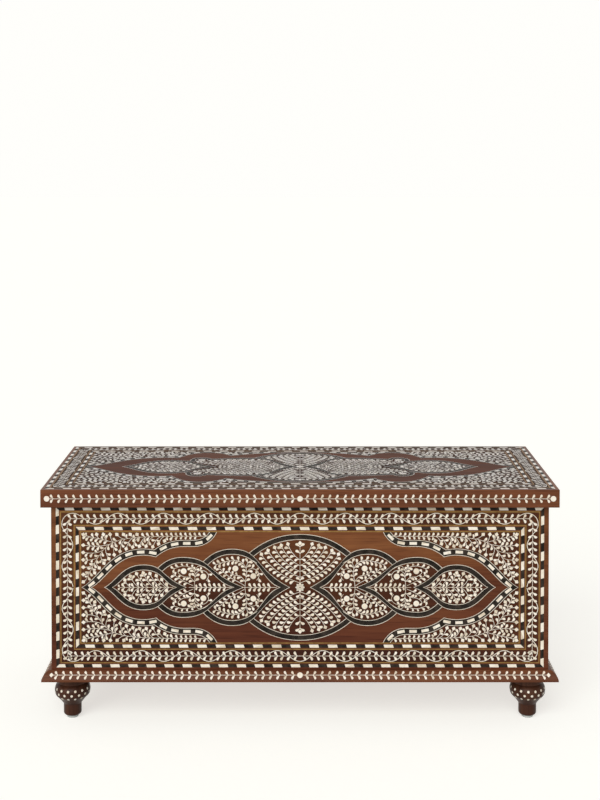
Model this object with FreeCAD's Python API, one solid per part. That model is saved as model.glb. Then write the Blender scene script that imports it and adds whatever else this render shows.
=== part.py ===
import FreeCAD, Part
import math
import os
from FreeCAD import Placement, Rotation, Vector

# Inlaid wooden chest on turned feet, with a lipped lid on two hinges.
# Millimetres, +Z up, the front faces -Y, the origin is on the floor below the middle.

# Lid
LID_LENGTH = 1150.0
LID_DEPTH = 450.0
LID_BOARD = 20.0
LIP_HEIGHT = 40.0
LIP_THICKNESS = 18.0
LIP_CLEARANCE = 2.0
EDGE_ROUND = 1.2
BATTEN_WIDTH = 60.0
BATTEN_THICKNESS = 15.0
BATTEN_SPACING = 500.0
BATTEN_END_GAP = 40.0

# Carcass
FOOT_HEIGHT = 100.0
CARCASS_HEIGHT = 410.0
WALL = 20.0
BOTTOM_BOARD = 12.0
BOTTOM_CLEARANCE = 0.5
BLOCK_SIDE = 70.0
BLOCK_HEIGHT = 28.0
CLEAT_WIDTH = 20.0
POST_SIDE = 24.0
POST_TOP_GAP = 12.0

# Base moulding, an ovolo that flares outward to a thin square edge
MOULDING_HEIGHT = 22.0
MOULDING_PROJECTION = 20.0
MOULDING_TOP_EDGE = 6.0
MOULDING_SQUARE = 3.5
MOULDING_BULGE = 2.6

# Turned foot
FOOT_INSET = 40.0
COLLAR_RADIUS = 34.5
COLLAR_HEIGHT = 19.0
GROOVE_RADIUS = 30.0
BULB_RADIUS = 39.5
BULB_CENTRE_HEIGHT = 60.0
ANKLE_RADIUS = 20.0
ANKLE_TOP_HEIGHT = 32.0
ANKLE_ROUND = 6.0
FLANK_FULLNESS = 0.08
FLANK_SLOPE = 0.8
DOT_RADIUS = 2.7
DOT_DEPTH = 3.0
DOT_ROW_SPACING = 6.3
DOTS_PER_ROW = 15

# Glide under each foot, and the stud above it
GLIDE_RADIUS = 13.0
GLIDE_HEIGHT = 6.0
GLIDE_ROUND = 2.0
NAIL_RADIUS = 1.6
NAIL_HEAD_RADIUS = 4.0
NAIL_HEAD_THICKNESS = 1.5
NAIL_LENGTH = 22.0
STUD_RADIUS = 4.0
STUD_IN_FOOT = 30.0
STUD_IN_BLOCK = 22.0

# Hinges
HINGE_LENGTH = 84.0
HINGE_SPACING = 640.0
KNUCKLE_RADIUS = 4.5
KNUCKLE_GAP = 0.4
LEAF_THICKNESS = 2.2
LEAF_REACH = 22.0
LEAF_SINK = 0.1
PIN_RADIUS = 2.2
PIN_CLEARANCE = 0.05
LID_OPEN_ANGLE = 95.0

# Wood screws
SCREW_HEAD_RADIUS = 3.4
SCREW_SHANK_RADIUS = 1.7
SCREW_LENGTH = 14.0
SCREW_SPACING = 28.0

# Slotted stays: the pivot on the lid and the stud on the end keep one distance from the hinge
STAY_RADIUS = 180.0
STAY_DROP = 16.0
STAY_SPREAD_ANGLE = 30.0
ARM_WIDTH = 16.0
ARM_THICKNESS = 3.0
STAY_STUD_RADIUS = 3.5
STAY_HEAD_RADIUS = 6.5
STAY_FLANGE = 2.0
STAY_SCREW_LENGTH = 13.0
STAY_SCREW_RADIUS = 2.4
PIVOT_RADIUS = 3.0
PIVOT_HEAD_RADIUS = 5.5
PIVOT_HEAD = 1.4
BRACKET_PLATE = 2.5
BRACKET_HALF_WIDTH = 15.0
BRACKET_FLANGE = 24.0
SLOT_SIDE_GAP = 0.4

# Clearances
SIDE_GAP = 0.5
BORE_CLEARANCE = 0.1
MORTISE_CLEARANCE = 0.2
INLAY_FIT = 0.15

# Inlay borders, from the edge inward: dashes, line, vine band, line, dashes, line
INLAY_DEPTH = 2.0
LID_MARGIN = 8.0
SIDE_MARGIN = 10.5
TOP_MARGIN = 4.0
DASH_WIDTH = 7.0
DASH_PITCH = 41.0
DASH_SLANT = 2.0
LINE_WIDTH = 2.2
LINE_GAP = 2.4
BAND_WIDTH = 28.0

# Inlay fields: ribbons with a string on each side, and dashed strips between two strings
STRING_WIDTH = 1.0
RIBBON_WIDTH = 12.5
STRIP_WIDTH = 15.0
CURVED_DASH_WIDTH = 6.4
CURVED_DASH_LENGTH = 16.5
CURVED_DASH_PITCH = 28.0
POINTS_PER_DASH = 20
POINTS_PER_QUARTER = 60
CURL_RADIUS = 27.0
NOSE_RADIUS = 40.0

# A pointed lobe is drawn in quarters as one curve with these poles, in shares of its half sizes
LOBE_POLES = ((0.0, 1.0), (0.55, 1.0), (0.70, 0.25), (1.0, 0.0))
TIP_RATIO = 1.5

# The side of a ribbon's lobe that runs to the middle is hollow: poles of the ribbon's outer and inner edge
HOLLOW_POLES = ((0.0, 1.0), (0.49, 1.0), (0.37, 0.49), (1.0, 0.0))
HOLLOW_INNER_POLES = ((0.0, 1.0), (0.63, 1.0), (0.61, 0.17), (1.0, 0.0))
HOLLOW_TIP_RATIO = 1.88

# Lobes of each field in shares of its half sizes: centre, left half, right half, half height.
# The ribbon of an earlier lobe lies over the later ones.
FRONT_LOBES = (
    (-0.716, 0.178, 0.1985, 0.411),
    (-0.538, 0.2005, 0.2824, 0.5475),
    (-0.311, 0.2437, 0.266, 0.6965),
    (0.0, 0.418, 0.418, 0.963),
)
FRONT_STRIP_LOBES = ((-0.715, 0.283, 0.283, 0.70), (-0.53, 0.31, 0.31, 0.857))
FRONT_NOSE = -0.482
LID_LOBES = (
    (-0.610, 0.220, 0.220, 0.424),
    (-0.222, 0.55, 0.212, 0.583),
    (0.0, 0.378, 0.378, 0.94),
)
LID_STRIP_LOBES = (
    (-0.639, 0.394, 0.335, 0.69),
    (-0.443, 0.283, 0.283, 1.035),
    (0.0, 0.743, 0.743, 1.055),
)
LID_CURL = (-0.468, 0.435)
END_LOBES = ((0.0, 0.70, 0.70, 0.66),)
END_STRIP_LOBES = ((0.0, 0.97, 0.97, 0.95),)

# Derived heights and planes
LIP_REACH = LIP_THICKNESS + LIP_CLEARANCE
BODY_LENGTH = LID_LENGTH - 2 * LIP_REACH
BODY_DEPTH = LID_DEPTH - LIP_REACH
RIM = FOOT_HEIGHT + CARCASS_HEIGHT
LID_TOP = RIM + LID_BOARD
LIP_BOTTOM = LID_TOP - LIP_HEIGHT
MOULDING_TOP = FOOT_HEIGHT + MOULDING_HEIGHT
BOARD_BOTTOM = FOOT_HEIGHT + BLOCK_HEIGHT
BOARD_TOP = BOARD_BOTTOM + BOTTOM_BOARD
HINGE_SETBACK = KNUCKLE_RADIUS + KNUCKLE_GAP
FRONT_REACH = max(LIP_REACH, MOULDING_PROJECTION)
TOTAL_DEPTH = FRONT_REACH + BODY_DEPTH + HINGE_SETBACK + KNUCKLE_RADIUS
FRONT = FRONT_REACH - TOTAL_DEPTH / 2
BACK = FRONT + BODY_DEPTH
HINGE_Y = BACK + HINGE_SETBACK
HINGE_CENTRES = (-HINGE_SPACING / 2, HINGE_SPACING / 2)
HALF_BODY = BODY_LENGTH / 2
INNER_END = HALF_BODY - WALL
INNER_FRONT = FRONT + WALL
INNER_BACK = BACK - WALL
LID_FRONT = FRONT - LIP_REACH
HALF_LID = LID_LENGTH / 2
LEAF_RECESS = LEAF_THICKNESS + LEAF_SINK
BORDER_WIDTH = 2 * DASH_WIDTH + 3 * LINE_WIDTH + 3 * LINE_GAP + BAND_WIDTH

X_AXIS = Vector(1, 0, 0)
Y_AXIS = Vector(0, 1, 0)
Z_AXIS = Vector(0, 0, 1)


def save(name, *solids):
    """Write one node; several solids make a group."""
    shape = solids[0] if len(solids) == 1 else Part.makeCompound(list(solids))
    shape.exportStep("parts/%s.step" % name)


def flatten(shapes):
    """All solids held in some shapes."""
    return [solid for shape in shapes for solid in shape.Solids]


def block(x_range, y_range, z_range):
    """Box between pairs of limits."""
    corner = Vector(x_range[0], y_range[0], z_range[0])
    return Part.makeBox(x_range[1] - x_range[0], y_range[1] - y_range[0], z_range[1] - z_range[0], corner)


def plank(outline, bottom, top):
    """Vertical prism over an outline of (x, y) points."""
    points = [Vector(x, y, bottom) for x, y in outline]
    face = Part.Face(Part.makePolygon(points + points[:1]))
    return face.extrude(Vector(0, 0, top - bottom))


def rod(radius, start, direction, length):
    """Round bar from a start point."""
    return Part.makeCylinder(radius, length, start, direction)


def cut_all(shape, tools):
    """A shape less several tools."""
    return shape.cut(list(tools)) if tools else shape


def mirror_x(shape):
    """Copy on the other side of the middle plane."""
    return shape.mirror(Vector(0, 0, 0), X_AXIS)


# Inlay drawing in the plane of a face: x to the right, y up, the surface at height 0

def area(edges):
    """Flat face inside a closed outline."""
    return Part.Face(Part.Wire(Part.sortEdges(edges)[0]))


def polygon(points):
    """Flat face with straight sides."""
    corners = [Vector(x, y, 0) for x, y in points]
    return Part.Face(Part.makePolygon(corners + corners[:1]))


def disc(x, y, radius):
    """Round flat face."""
    return area([Part.makeCircle(radius, Vector(x, y, 0))])


def plate(half_length, half_height):
    """Rectangular face round the middle of the drawing."""
    return Part.makePlane(2 * half_length, 2 * half_height, Vector(-half_length, -half_height, 0))


def frame_ring(half_length, half_height, width):
    """Rectangular ring of a given width inside an outer rectangle."""
    return plate(half_length, half_height).cut(plate(half_length - width, half_height - width)).Faces[0]


def fused(faces):
    """One region from overlapping faces, without the lines where they meet."""
    joined = faces[0].fuse(faces[1:]) if len(faces) > 1 else faces[0]
    uses = {}
    for face in joined.Faces:
        for edge in face.Edges:
            uses.setdefault(edge.hashCode(), []).append(edge)
    outline = [edges[0] for edges in uses.values() if len(edges) == 1]
    wires = [Part.Wire(edges) for edges in Part.sortEdges(outline)]
    return Part.makeFace(wires, "Part::FaceMakerBullseye")


def lobe_quarter(centre, width, height, poles):
    """Quarter outline of a lobe, from its top to its tip."""
    curve = Part.BezierCurve()
    curve.setPoles([Vector(centre + width * x, height * y, 0) for x, y in poles])
    return curve.toShape()


def hollow_poles(inset):
    """Poles of a hollow side, from a ribbon's outer edge toward its inner edge as the inset grows."""
    share = inset / RIBBON_WIDTH
    poles = []
    for outer, inner in zip(HOLLOW_POLES, HOLLOW_INNER_POLES):
        poles.append([start + share * (end - start) for start, end in zip(outer, inner)])
    return poles


class Field:
    """One decorated face: its plane, its size inside the margins and its inlay pieces."""

    def __init__(self, origin, right, up, half_length, half_height):
        self.placement = Placement(origin, Rotation(right, up, right.cross(up), "XYZ"))
        self.half_length = half_length
        self.half_height = half_height
        self.inner_length = half_length - BORDER_WIDTH
        self.inner_height = half_height - BORDER_WIDTH
        self.bone = []
        self.ebony = []
        self.brass = []
        self.rings = []
        self.pockets = []

    def sunk(self, faces):
        """Inlay solids under faces of the drawing, moved to the decorated face."""
        solids = [face.extrude(Vector(0, 0, -INLAY_DEPTH)) for face in faces]
        for solid in solids:
            solid.Placement = self.placement.multiply(solid.Placement)
        return solids

    def sunk_pockets(self):
        """Pockets of all inlay pieces, joined where they meet."""
        return self.sunk(fused(self.rings + self.pockets).Faces)

    def scaled(self, share):
        """Centre, half widths and half height of a lobe."""
        centre, left, right, height = share
        length = self.inner_length
        return centre * length, left * length, right * length, height * self.inner_height

    def lobe(self, share, inset, hollow=False):
        """Pointed lobe from its shares, drawn smaller by an inset; its side to the middle may be hollow."""
        centre, left, right, height = self.scaled(share)
        edges = []
        for side, width, to_middle in ((-1, left, centre > 0), (1, right, centre < 0)):
            poles, ratio = LOBE_POLES, TIP_RATIO
            if hollow and to_middle:
                poles, ratio = hollow_poles(inset), HOLLOW_TIP_RATIO
            for rise in (height - inset, inset - height):
                edges.append(lobe_quarter(centre, side * (width - ratio * inset), rise, poles))
        return area(edges)


def mirrored(share):
    """Shares of the lobe on the other side of the face."""
    centre, left, right, height = share
    return (-centre, right, left, height)


def with_mirrors(shares):
    """Each lobe followed by its mirror image, a middle lobe once."""
    both = []
    for share in shares:
        both.append(share)
        if share[0]:
            both.append(mirrored(share))
    return both


def dash_side(length):
    """Outlines of an even number of dashes along one side of a ring, with mitred ends.

    Drawn along x from the ring's corner, with the outer edge on y = 0 and the inner one below it.
    """
    steps = 2 * round(length / DASH_PITCH)
    step = length / steps
    cuts = [(0.0, DASH_WIDTH)]
    for index in range(1, steps):
        cuts.append((index * step - DASH_SLANT / 2, index * step + DASH_SLANT / 2))
    cuts.append((length, length - DASH_WIDTH))
    outlines = []
    for (outer_start, inner_start), (outer_end, inner_end) in zip(cuts, cuts[1:]):
        outlines.append((
            (outer_start, 0),
            (outer_end, 0),
            (inner_end, -DASH_WIDTH),
            (inner_start, -DASH_WIDTH),
        ))
    return outlines


def add_dash_ring(field, half_length, half_height, groups):
    """Ring of dashes of two materials in turn, clockwise from each corner, and its groove."""
    sides = (
        (-half_length, half_height, 2 * half_length, 0),
        (half_length, half_height, 2 * half_height, -90),
        (half_length, -half_height, 2 * half_length, 180),
        (-half_length, -half_height, 2 * half_height, 90),
    )
    for x, y, length, turn in sides:
        place = Placement(Vector(x, y, 0), Rotation(Z_AXIS, turn))
        for index, outline in enumerate(dash_side(length)):
            piece = polygon(outline)
            piece.Placement = place
            groups[index % 2].append(piece)
    field.rings.append(frame_ring(half_length, half_height, DASH_WIDTH))


def add_outer_dashes(field, half_length, half_height):
    """Outer dash ring, whose sides begin with ebony."""
    add_dash_ring(field, half_length, half_height, (field.ebony, field.bone))


def add_inner_dashes(field, half_length, half_height):
    """Inner dash ring, whose sides begin with bone."""
    add_dash_ring(field, half_length, half_height, (field.bone, field.ebony))


def add_line(field, half_length, half_height):
    """Brass line and its groove."""
    line = frame_ring(half_length, half_height, LINE_WIDTH)
    field.brass.append(line)
    field.rings.append(line)


def add_border(field):
    """Border of a face: dashes, line, vine band, line, dashes, line."""
    inset = 0.0
    for add_ring, width, gap in (
        (add_outer_dashes, DASH_WIDTH, LINE_GAP),
        (add_line, LINE_WIDTH, BAND_WIDTH),
        (add_line, LINE_WIDTH, LINE_GAP),
        (add_inner_dashes, DASH_WIDTH, LINE_GAP),
        (add_line, LINE_WIDTH, 0.0),
    ):
        add_ring(field, field.half_length - inset, field.half_height - inset)
        inset += width + gap


def add_ribbon(field, shape, covers):
    """Ribbon inside an outline: ebony with a bone string on each side.

    It is cut off where an earlier ribbon's lobe covers it.
    """
    inner = RIBBON_WIDTH - STRING_WIDTH
    for group, start, end in (
        (field.bone, 0.0, STRING_WIDTH),
        (field.ebony, STRING_WIDTH + INLAY_FIT, inner - INLAY_FIT),
        (field.bone, inner, RIBBON_WIDTH),
        (field.pockets, -INLAY_FIT, RIBBON_WIDTH + INLAY_FIT),
    ):
        ring = shape(start).cut(shape(end))
        group.extend(cut_all(ring, covers).Faces)
    covers.append(shape(-INLAY_FIT))


def add_ribbons(field, shares, curled_share=None):
    """Ribbons round all lobes of a face; a curled lobe has a round curl on each shoulder."""
    curled = with_mirrors([curled_share]) if curled_share else []
    covers = []
    for share in with_mirrors(shares):
        def shape(inset, share=share):
            parts = [field.lobe(share, inset, True)]
            if share in curled:
                curl_x = math.copysign(LID_CURL[0] * field.inner_length, share[0])
                curl_y = LID_CURL[1] * field.inner_height
                parts += [disc(curl_x, rise, CURL_RADIUS - inset) for rise in (curl_y, -curl_y)]
            return fused(parts)

        add_ribbon(field, shape, covers)


def strip_region(field, shares, nose, inset):
    """Plain wood inside a dashed strip: lobes, and a middle that rises to the border in hollow curves."""
    parts = [field.lobe(share, inset) for share in with_mirrors(shares)]
    if nose:
        nose_x, nose_y = nose
        shoulder = plate(abs(field.scaled(shares[-1])[0]), nose_y - NOSE_RADIUS - inset)
        middle = plate(abs(nose_x), field.inner_height)
        corners = [disc(x, y, NOSE_RADIUS + inset) for x in (nose_x, -nose_x) for y in (nose_y, -nose_y)]
        parts += [shoulder, middle.cut(corners)]
    return fused(parts).common(plate(field.inner_length, field.inner_height))


def strip_middle(field, shares, nose):
    """Middle line of a dashed strip in the upper left quarter, from its tip to the border."""
    inset = STRIP_WIDTH / 2
    lobes = [field.lobe(share, inset) for share in shares]
    points = []
    for share, own in zip(shares, lobes):
        centre, left, right, height = field.scaled(share)
        rising = lobe_quarter(centre, TIP_RATIO * inset - left, height - inset, LOBE_POLES)
        falling = lobe_quarter(centre, right - TIP_RATIO * inset, height - inset, LOBE_POLES)
        line = rising.discretize(Number=POINTS_PER_QUARTER)[::-1]
        line += falling.discretize(Number=POINTS_PER_QUARTER)[1:]
        others = [lobe for lobe in lobes if lobe is not own]
        points += [point for point in line if not any(lobe.isInside(point, 0, True) for lobe in others)]
    if nose:
        points = [point for point in points if point.x <= field.scaled(shares[-1])[0]]
        circle = Part.Circle(Vector(nose[0], nose[1], 0), Z_AXIS, NOSE_RADIUS + inset)
        points += circle.toShape(1.5 * math.pi, 2 * math.pi).discretize(Number=POINTS_PER_QUARTER)
    return Part.makePolygon([point for point in points if point.x <= 0 and point.y < field.inner_height])


def dash_outline(point, along):
    """Corners of a bone dash that lies along a strip."""
    across = Vector(-along.y, along.x, 0) * (CURVED_DASH_WIDTH / 2)
    reach = along * (CURVED_DASH_LENGTH / 2)
    corners = (reach + across, across - reach, -reach - across, reach - across)
    return [(point.x + corner.x, point.y + corner.y) for corner in corners]


def strip_dashes(path, band):
    """Dash outlines spread along a strip, kept where they lie wholly in its band, in all quarters."""
    count = round(path.Length / CURVED_DASH_PITCH)
    points = path.discretize(Number=count * POINTS_PER_DASH + 1)
    outlines = []
    for index in range(POINTS_PER_DASH // 2, len(points), POINTS_PER_DASH):
        along = (points[index + 1] - points[index - 1]).normalize()
        outline = dash_outline(points[index], along)
        corners = [Vector(x, y, 0) for x, y in outline]
        if all(any(face.isInside(corner, 0, True) for face in band) for corner in corners):
            outlines.append(outline)
    return [
        polygon([(side * x, rise * y) for x, y in outline])
        for outline in outlines
        for side in (1, -1)
        for rise in (1, -1)
    ]


def add_strip(field, shares, nose=None):
    """Dashed strip round the plain wood: two strings and an ebony band with bone dashes in it."""
    def ring(start, end):
        outer = strip_region(field, shares, nose, start)
        return outer.cut(strip_region(field, shares, nose, end)).Faces

    inner = STRIP_WIDTH - STRING_WIDTH
    band = ring(STRING_WIDTH + INLAY_FIT, inner - INLAY_FIT)
    dashes = strip_dashes(strip_middle(field, shares, nose), band)
    field.bone.extend(ring(0.0, STRING_WIDTH) + ring(inner, STRIP_WIDTH) + dashes)
    for face in band:
        field.ebony.extend(cut_all(face, dashes).Faces)
    field.pockets.extend(ring(-INLAY_FIT, STRIP_WIDTH + INLAY_FIT))


def save_inlay(name, field):
    """Write the bone, ebony and brass of one face."""
    save(name + "_bone_inlay", *field.sunk(field.bone))
    save(name + "_ebony_inlay", *field.sunk(field.ebony))
    save(name + "_brass_lines", *field.sunk(field.brass))


def front_field():
    """Front between the base moulding and the lid's lip."""
    show = LIP_BOTTOM - MOULDING_TOP
    origin = Vector(0, FRONT, MOULDING_TOP + show / 2)
    field = Field(origin, X_AXIS, Z_AXIS, HALF_BODY - SIDE_MARGIN, show / 2 - TOP_MARGIN)
    add_border(field)
    add_ribbons(field, FRONT_LOBES)
    shoulder = FRONT_STRIP_LOBES[1][3] * field.inner_height
    nose = (FRONT_NOSE * field.inner_length, shoulder + NOSE_RADIUS)
    add_strip(field, FRONT_STRIP_LOBES, nose)
    return field


def end_field(side):
    """One end of the carcass; side is -1 for the left and 1 for the right."""
    show = LIP_BOTTOM - MOULDING_TOP
    origin = Vector(side * HALF_BODY, (FRONT + BACK) / 2, MOULDING_TOP + show / 2)
    field = Field(origin, Y_AXIS * side, Z_AXIS, BODY_DEPTH / 2 - SIDE_MARGIN, show / 2 - TOP_MARGIN)
    add_border(field)
    add_ribbons(field, END_LOBES)
    add_strip(field, END_STRIP_LOBES)
    return field


def lid_field():
    """Top of the lid."""
    origin = Vector(0, LID_FRONT + LID_DEPTH / 2, LID_TOP)
    field = Field(origin, X_AXIS, Y_AXIS, HALF_LID - LID_MARGIN, LID_DEPTH / 2 - LID_MARGIN)
    add_border(field)
    add_ribbons(field, LID_LOBES, LID_LOBES[1])
    add_strip(field, LID_STRIP_LOBES)
    return field


# Fasteners

def screw(point, direction, extra=0.0):
    """Countersunk wood screw with its head at a point; extra makes the hole for it."""
    head = SCREW_HEAD_RADIUS + extra
    shank = SCREW_SHANK_RADIUS + extra
    cone = Part.makeCone(head, shank, LEAF_THICKNESS, point, direction)
    return cone.fuse(rod(shank, point, direction, SCREW_LENGTH + extra))


def hinge_screw_points(centre):
    """Screw heads on one hinge leaf, at the height of the rim."""
    y = HINGE_Y - (LEAF_REACH + HINGE_SETBACK) / 2
    return [Vector(centre + step * SCREW_SPACING, y, RIM) for step in (-1, 0, 1)]


def bracket_screw_points(side):
    """Screw heads under one stay bracket."""
    pivot = stay_pivot()
    x = side * (bracket_inner_plane() - BRACKET_FLANGE / 2)
    spread = BRACKET_HALF_WIDTH / 2
    height = RIM - BRACKET_PLATE
    return [Vector(x, pivot.y - spread, height), Vector(x, pivot.y + spread, height)]


def carcass_screws(extra=0.0):
    """Screws through the lower hinge leaves into the back panel."""
    drop = Vector(0, 0, -LEAF_SINK)
    points = [point + drop for centre in HINGE_CENTRES for point in hinge_screw_points(centre)]
    return [screw(point, -Z_AXIS, extra) for point in points]


def lid_screws(extra=0.0):
    """Screws up through the upper hinge leaves and the stay brackets into the lid panel."""
    rise = Vector(0, 0, LEAF_SINK)
    points = [point + rise for centre in HINGE_CENTRES for point in hinge_screw_points(centre)]
    points += bracket_screw_points(-1) + bracket_screw_points(1)
    return [screw(point, Z_AXIS, extra) for point in points]


# Hinges

def hinge_leaf(centre, rise, sections):
    """Hinge leaf with knuckles on some thirds of its length; rise is 1 for the lid's leaf."""
    third = HINGE_LENGTH / 3
    start = centre - HINGE_LENGTH / 2
    heights = sorted((RIM + rise * LEAF_SINK, RIM + rise * LEAF_RECESS))
    leaf = block((start, start + HINGE_LENGTH), (HINGE_Y - LEAF_REACH, HINGE_Y), heights)
    clear = KNUCKLE_RADIUS + KNUCKLE_GAP / 2
    for index in range(3):
        x = start + index * third
        room = block((x, x + third), (HINGE_Y - clear, HINGE_Y), (RIM - clear, RIM + clear))
        if index not in sections:
            leaf = leaf.cut(room)
    for index in sections:
        x_start = start + index * third + (SIDE_GAP / 2 if index else 0)
        x_end = start + (index + 1) * third - (SIDE_GAP / 2 if index < 2 else 0)
        trim = block((x_start - SIDE_GAP, x_start), (HINGE_Y - clear, HINGE_Y), heights)
        trim_end = block((x_end, x_end + SIDE_GAP), (HINGE_Y - clear, HINGE_Y), heights)
        leaf = leaf.cut([trim, trim_end])
        leaf = leaf.fuse(rod(KNUCKLE_RADIUS, Vector(x_start, HINGE_Y, RIM), X_AXIS, x_end - x_start))
    bore = rod(PIN_RADIUS + PIN_CLEARANCE, Vector(start, HINGE_Y, RIM), X_AXIS, HINGE_LENGTH)
    return leaf.cut(bore).removeSplitter()


def hinge_pin(centre):
    """Pin of one hinge."""
    return rod(PIN_RADIUS, Vector(centre - HINGE_LENGTH / 2, HINGE_Y, RIM), X_AXIS, HINGE_LENGTH)


def leaf_mortise(centre, rise):
    """Recess for one hinge leaf in the rim or in the lid."""
    half = HINGE_LENGTH / 2 + MORTISE_CLEARANCE
    front = HINGE_Y - LEAF_REACH - MORTISE_CLEARANCE
    heights = sorted((RIM, RIM + rise * LEAF_RECESS))
    return block((centre - half, centre + half), (front, BACK), heights)


# Stays

def stay_point(angle):
    """Point at the stay's distance from the hinge, turned down from the lid's plane."""
    y = HINGE_Y - STAY_RADIUS * math.cos(angle)
    return Vector(0, y, RIM - STAY_RADIUS * math.sin(angle))


def stay_pivot_angle():
    """Angle of the pivot on the lid when the lid is shut."""
    return math.asin(STAY_DROP / STAY_RADIUS)


def stay_pivot():
    """Pivot on the lid."""
    return stay_point(stay_pivot_angle())


def stay_stud_point():
    """Shoulder stud on the end panel."""
    return stay_point(stay_pivot_angle() + math.radians(STAY_SPREAD_ANGLE))


def stay_chord(open_angle):
    """Distance from pivot to stud at an opening angle of the lid."""
    return 2 * STAY_RADIUS * math.sin(math.radians(STAY_SPREAD_ANGLE + open_angle) / 2)


def arm_outer_plane():
    """Distance from the middle to the arm's outer face."""
    return INNER_END - STAY_FLANGE - SIDE_GAP


def bracket_inner_plane():
    """Distance from the middle to the bracket plate's inner face."""
    return arm_outer_plane() - ARM_THICKNESS - SIDE_GAP - BRACKET_PLATE


def round_bar(start, end, width, thickness):
    """Flat bar with round ends, between two points along x."""
    half = width / 2
    bar = block((start, end), (-half, half), (0, thickness))
    ends = [rod(half, Vector(x, 0, 0), Z_AXIS, thickness) for x in (start, end)]
    return bar.fuse(ends).removeSplitter()


def stay_arm(side):
    """Slotted arm from the pivot, over the stud."""
    slot_radius = STAY_STUD_RADIUS + SLOT_SIDE_GAP
    slot = round_bar(stay_chord(0), stay_chord(LID_OPEN_ANGLE), 2 * slot_radius, ARM_THICKNESS)
    arm = round_bar(0, stay_chord(LID_OPEN_ANGLE), ARM_WIDTH, ARM_THICKNESS)
    arm = arm.cut([slot, rod(PIVOT_RADIUS + PIN_CLEARANCE, Vector(0, 0, 0), Z_AXIS, ARM_THICKNESS)])
    pivot = stay_pivot()
    along = (stay_stud_point() - pivot).normalize()
    turn = Rotation(along, X_AXIS.cross(along), X_AXIS, "XYZ")
    plane = arm_outer_plane() - ARM_THICKNESS
    arm.Placement = Placement(Vector(plane, pivot.y, pivot.z), turn)
    return arm if side > 0 else mirror_x(arm)


def stay_stud(side):
    """Shoulder stud with a wood screw, a flange and a head."""
    place = stay_stud_point()
    shoulder = arm_outer_plane() - ARM_THICKNESS - SIDE_GAP

    def turned(radius, start, length):
        return rod(radius, Vector(start, place.y, place.z), X_AXIS, length)

    parts = [
        turned(STAY_HEAD_RADIUS, shoulder - STAY_FLANGE, STAY_FLANGE),
        turned(STAY_HEAD_RADIUS, INNER_END - STAY_FLANGE, STAY_FLANGE),
        turned(STAY_SCREW_RADIUS, INNER_END, STAY_SCREW_LENGTH),
    ]
    stud = turned(STAY_STUD_RADIUS, shoulder, INNER_END - STAY_FLANGE - shoulder).fuse(parts)
    return stud if side > 0 else mirror_x(stud)


def stay_screw_bore(side):
    """Hole for the stud's screw in the end panel."""
    place = stay_stud_point()
    start = Vector(INNER_END, place.y, place.z)
    bore = rod(STAY_SCREW_RADIUS + BORE_CLEARANCE, start, X_AXIS, STAY_SCREW_LENGTH + BORE_CLEARANCE)
    return bore if side > 0 else mirror_x(bore)


def stay_bracket(side):
    """Angle bracket under the lid with the riveted pivot of the arm."""
    pivot = stay_pivot()
    inner = bracket_inner_plane()
    outer = inner + BRACKET_PLATE
    y_range = (pivot.y - BRACKET_HALF_WIDTH, pivot.y + BRACKET_HALF_WIDTH)
    plate_part = block((inner, outer), y_range, (pivot.z, RIM))
    boss = rod(BRACKET_HALF_WIDTH, Vector(inner, pivot.y, pivot.z), X_AXIS, BRACKET_PLATE)
    below = block((inner, outer), y_range, (pivot.z - BRACKET_HALF_WIDTH, pivot.z))
    flange = block((inner - BRACKET_FLANGE, outer), y_range, (RIM - BRACKET_PLATE, RIM))
    pin_end = arm_outer_plane() + SIDE_GAP
    rivet = rod(PIVOT_RADIUS, Vector(outer, pivot.y, pivot.z), X_AXIS, pin_end - outer)
    head = rod(PIVOT_HEAD_RADIUS, Vector(pin_end, pivot.y, pivot.z), X_AXIS, PIVOT_HEAD)
    bracket = plate_part.fuse([boss.common(below), flange, rivet, head]).removeSplitter()
    bracket = bracket if side > 0 else mirror_x(bracket)
    return bracket.cut([screw(point, Z_AXIS, BORE_CLEARANCE) for point in bracket_screw_points(side)])


# Feet

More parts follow.
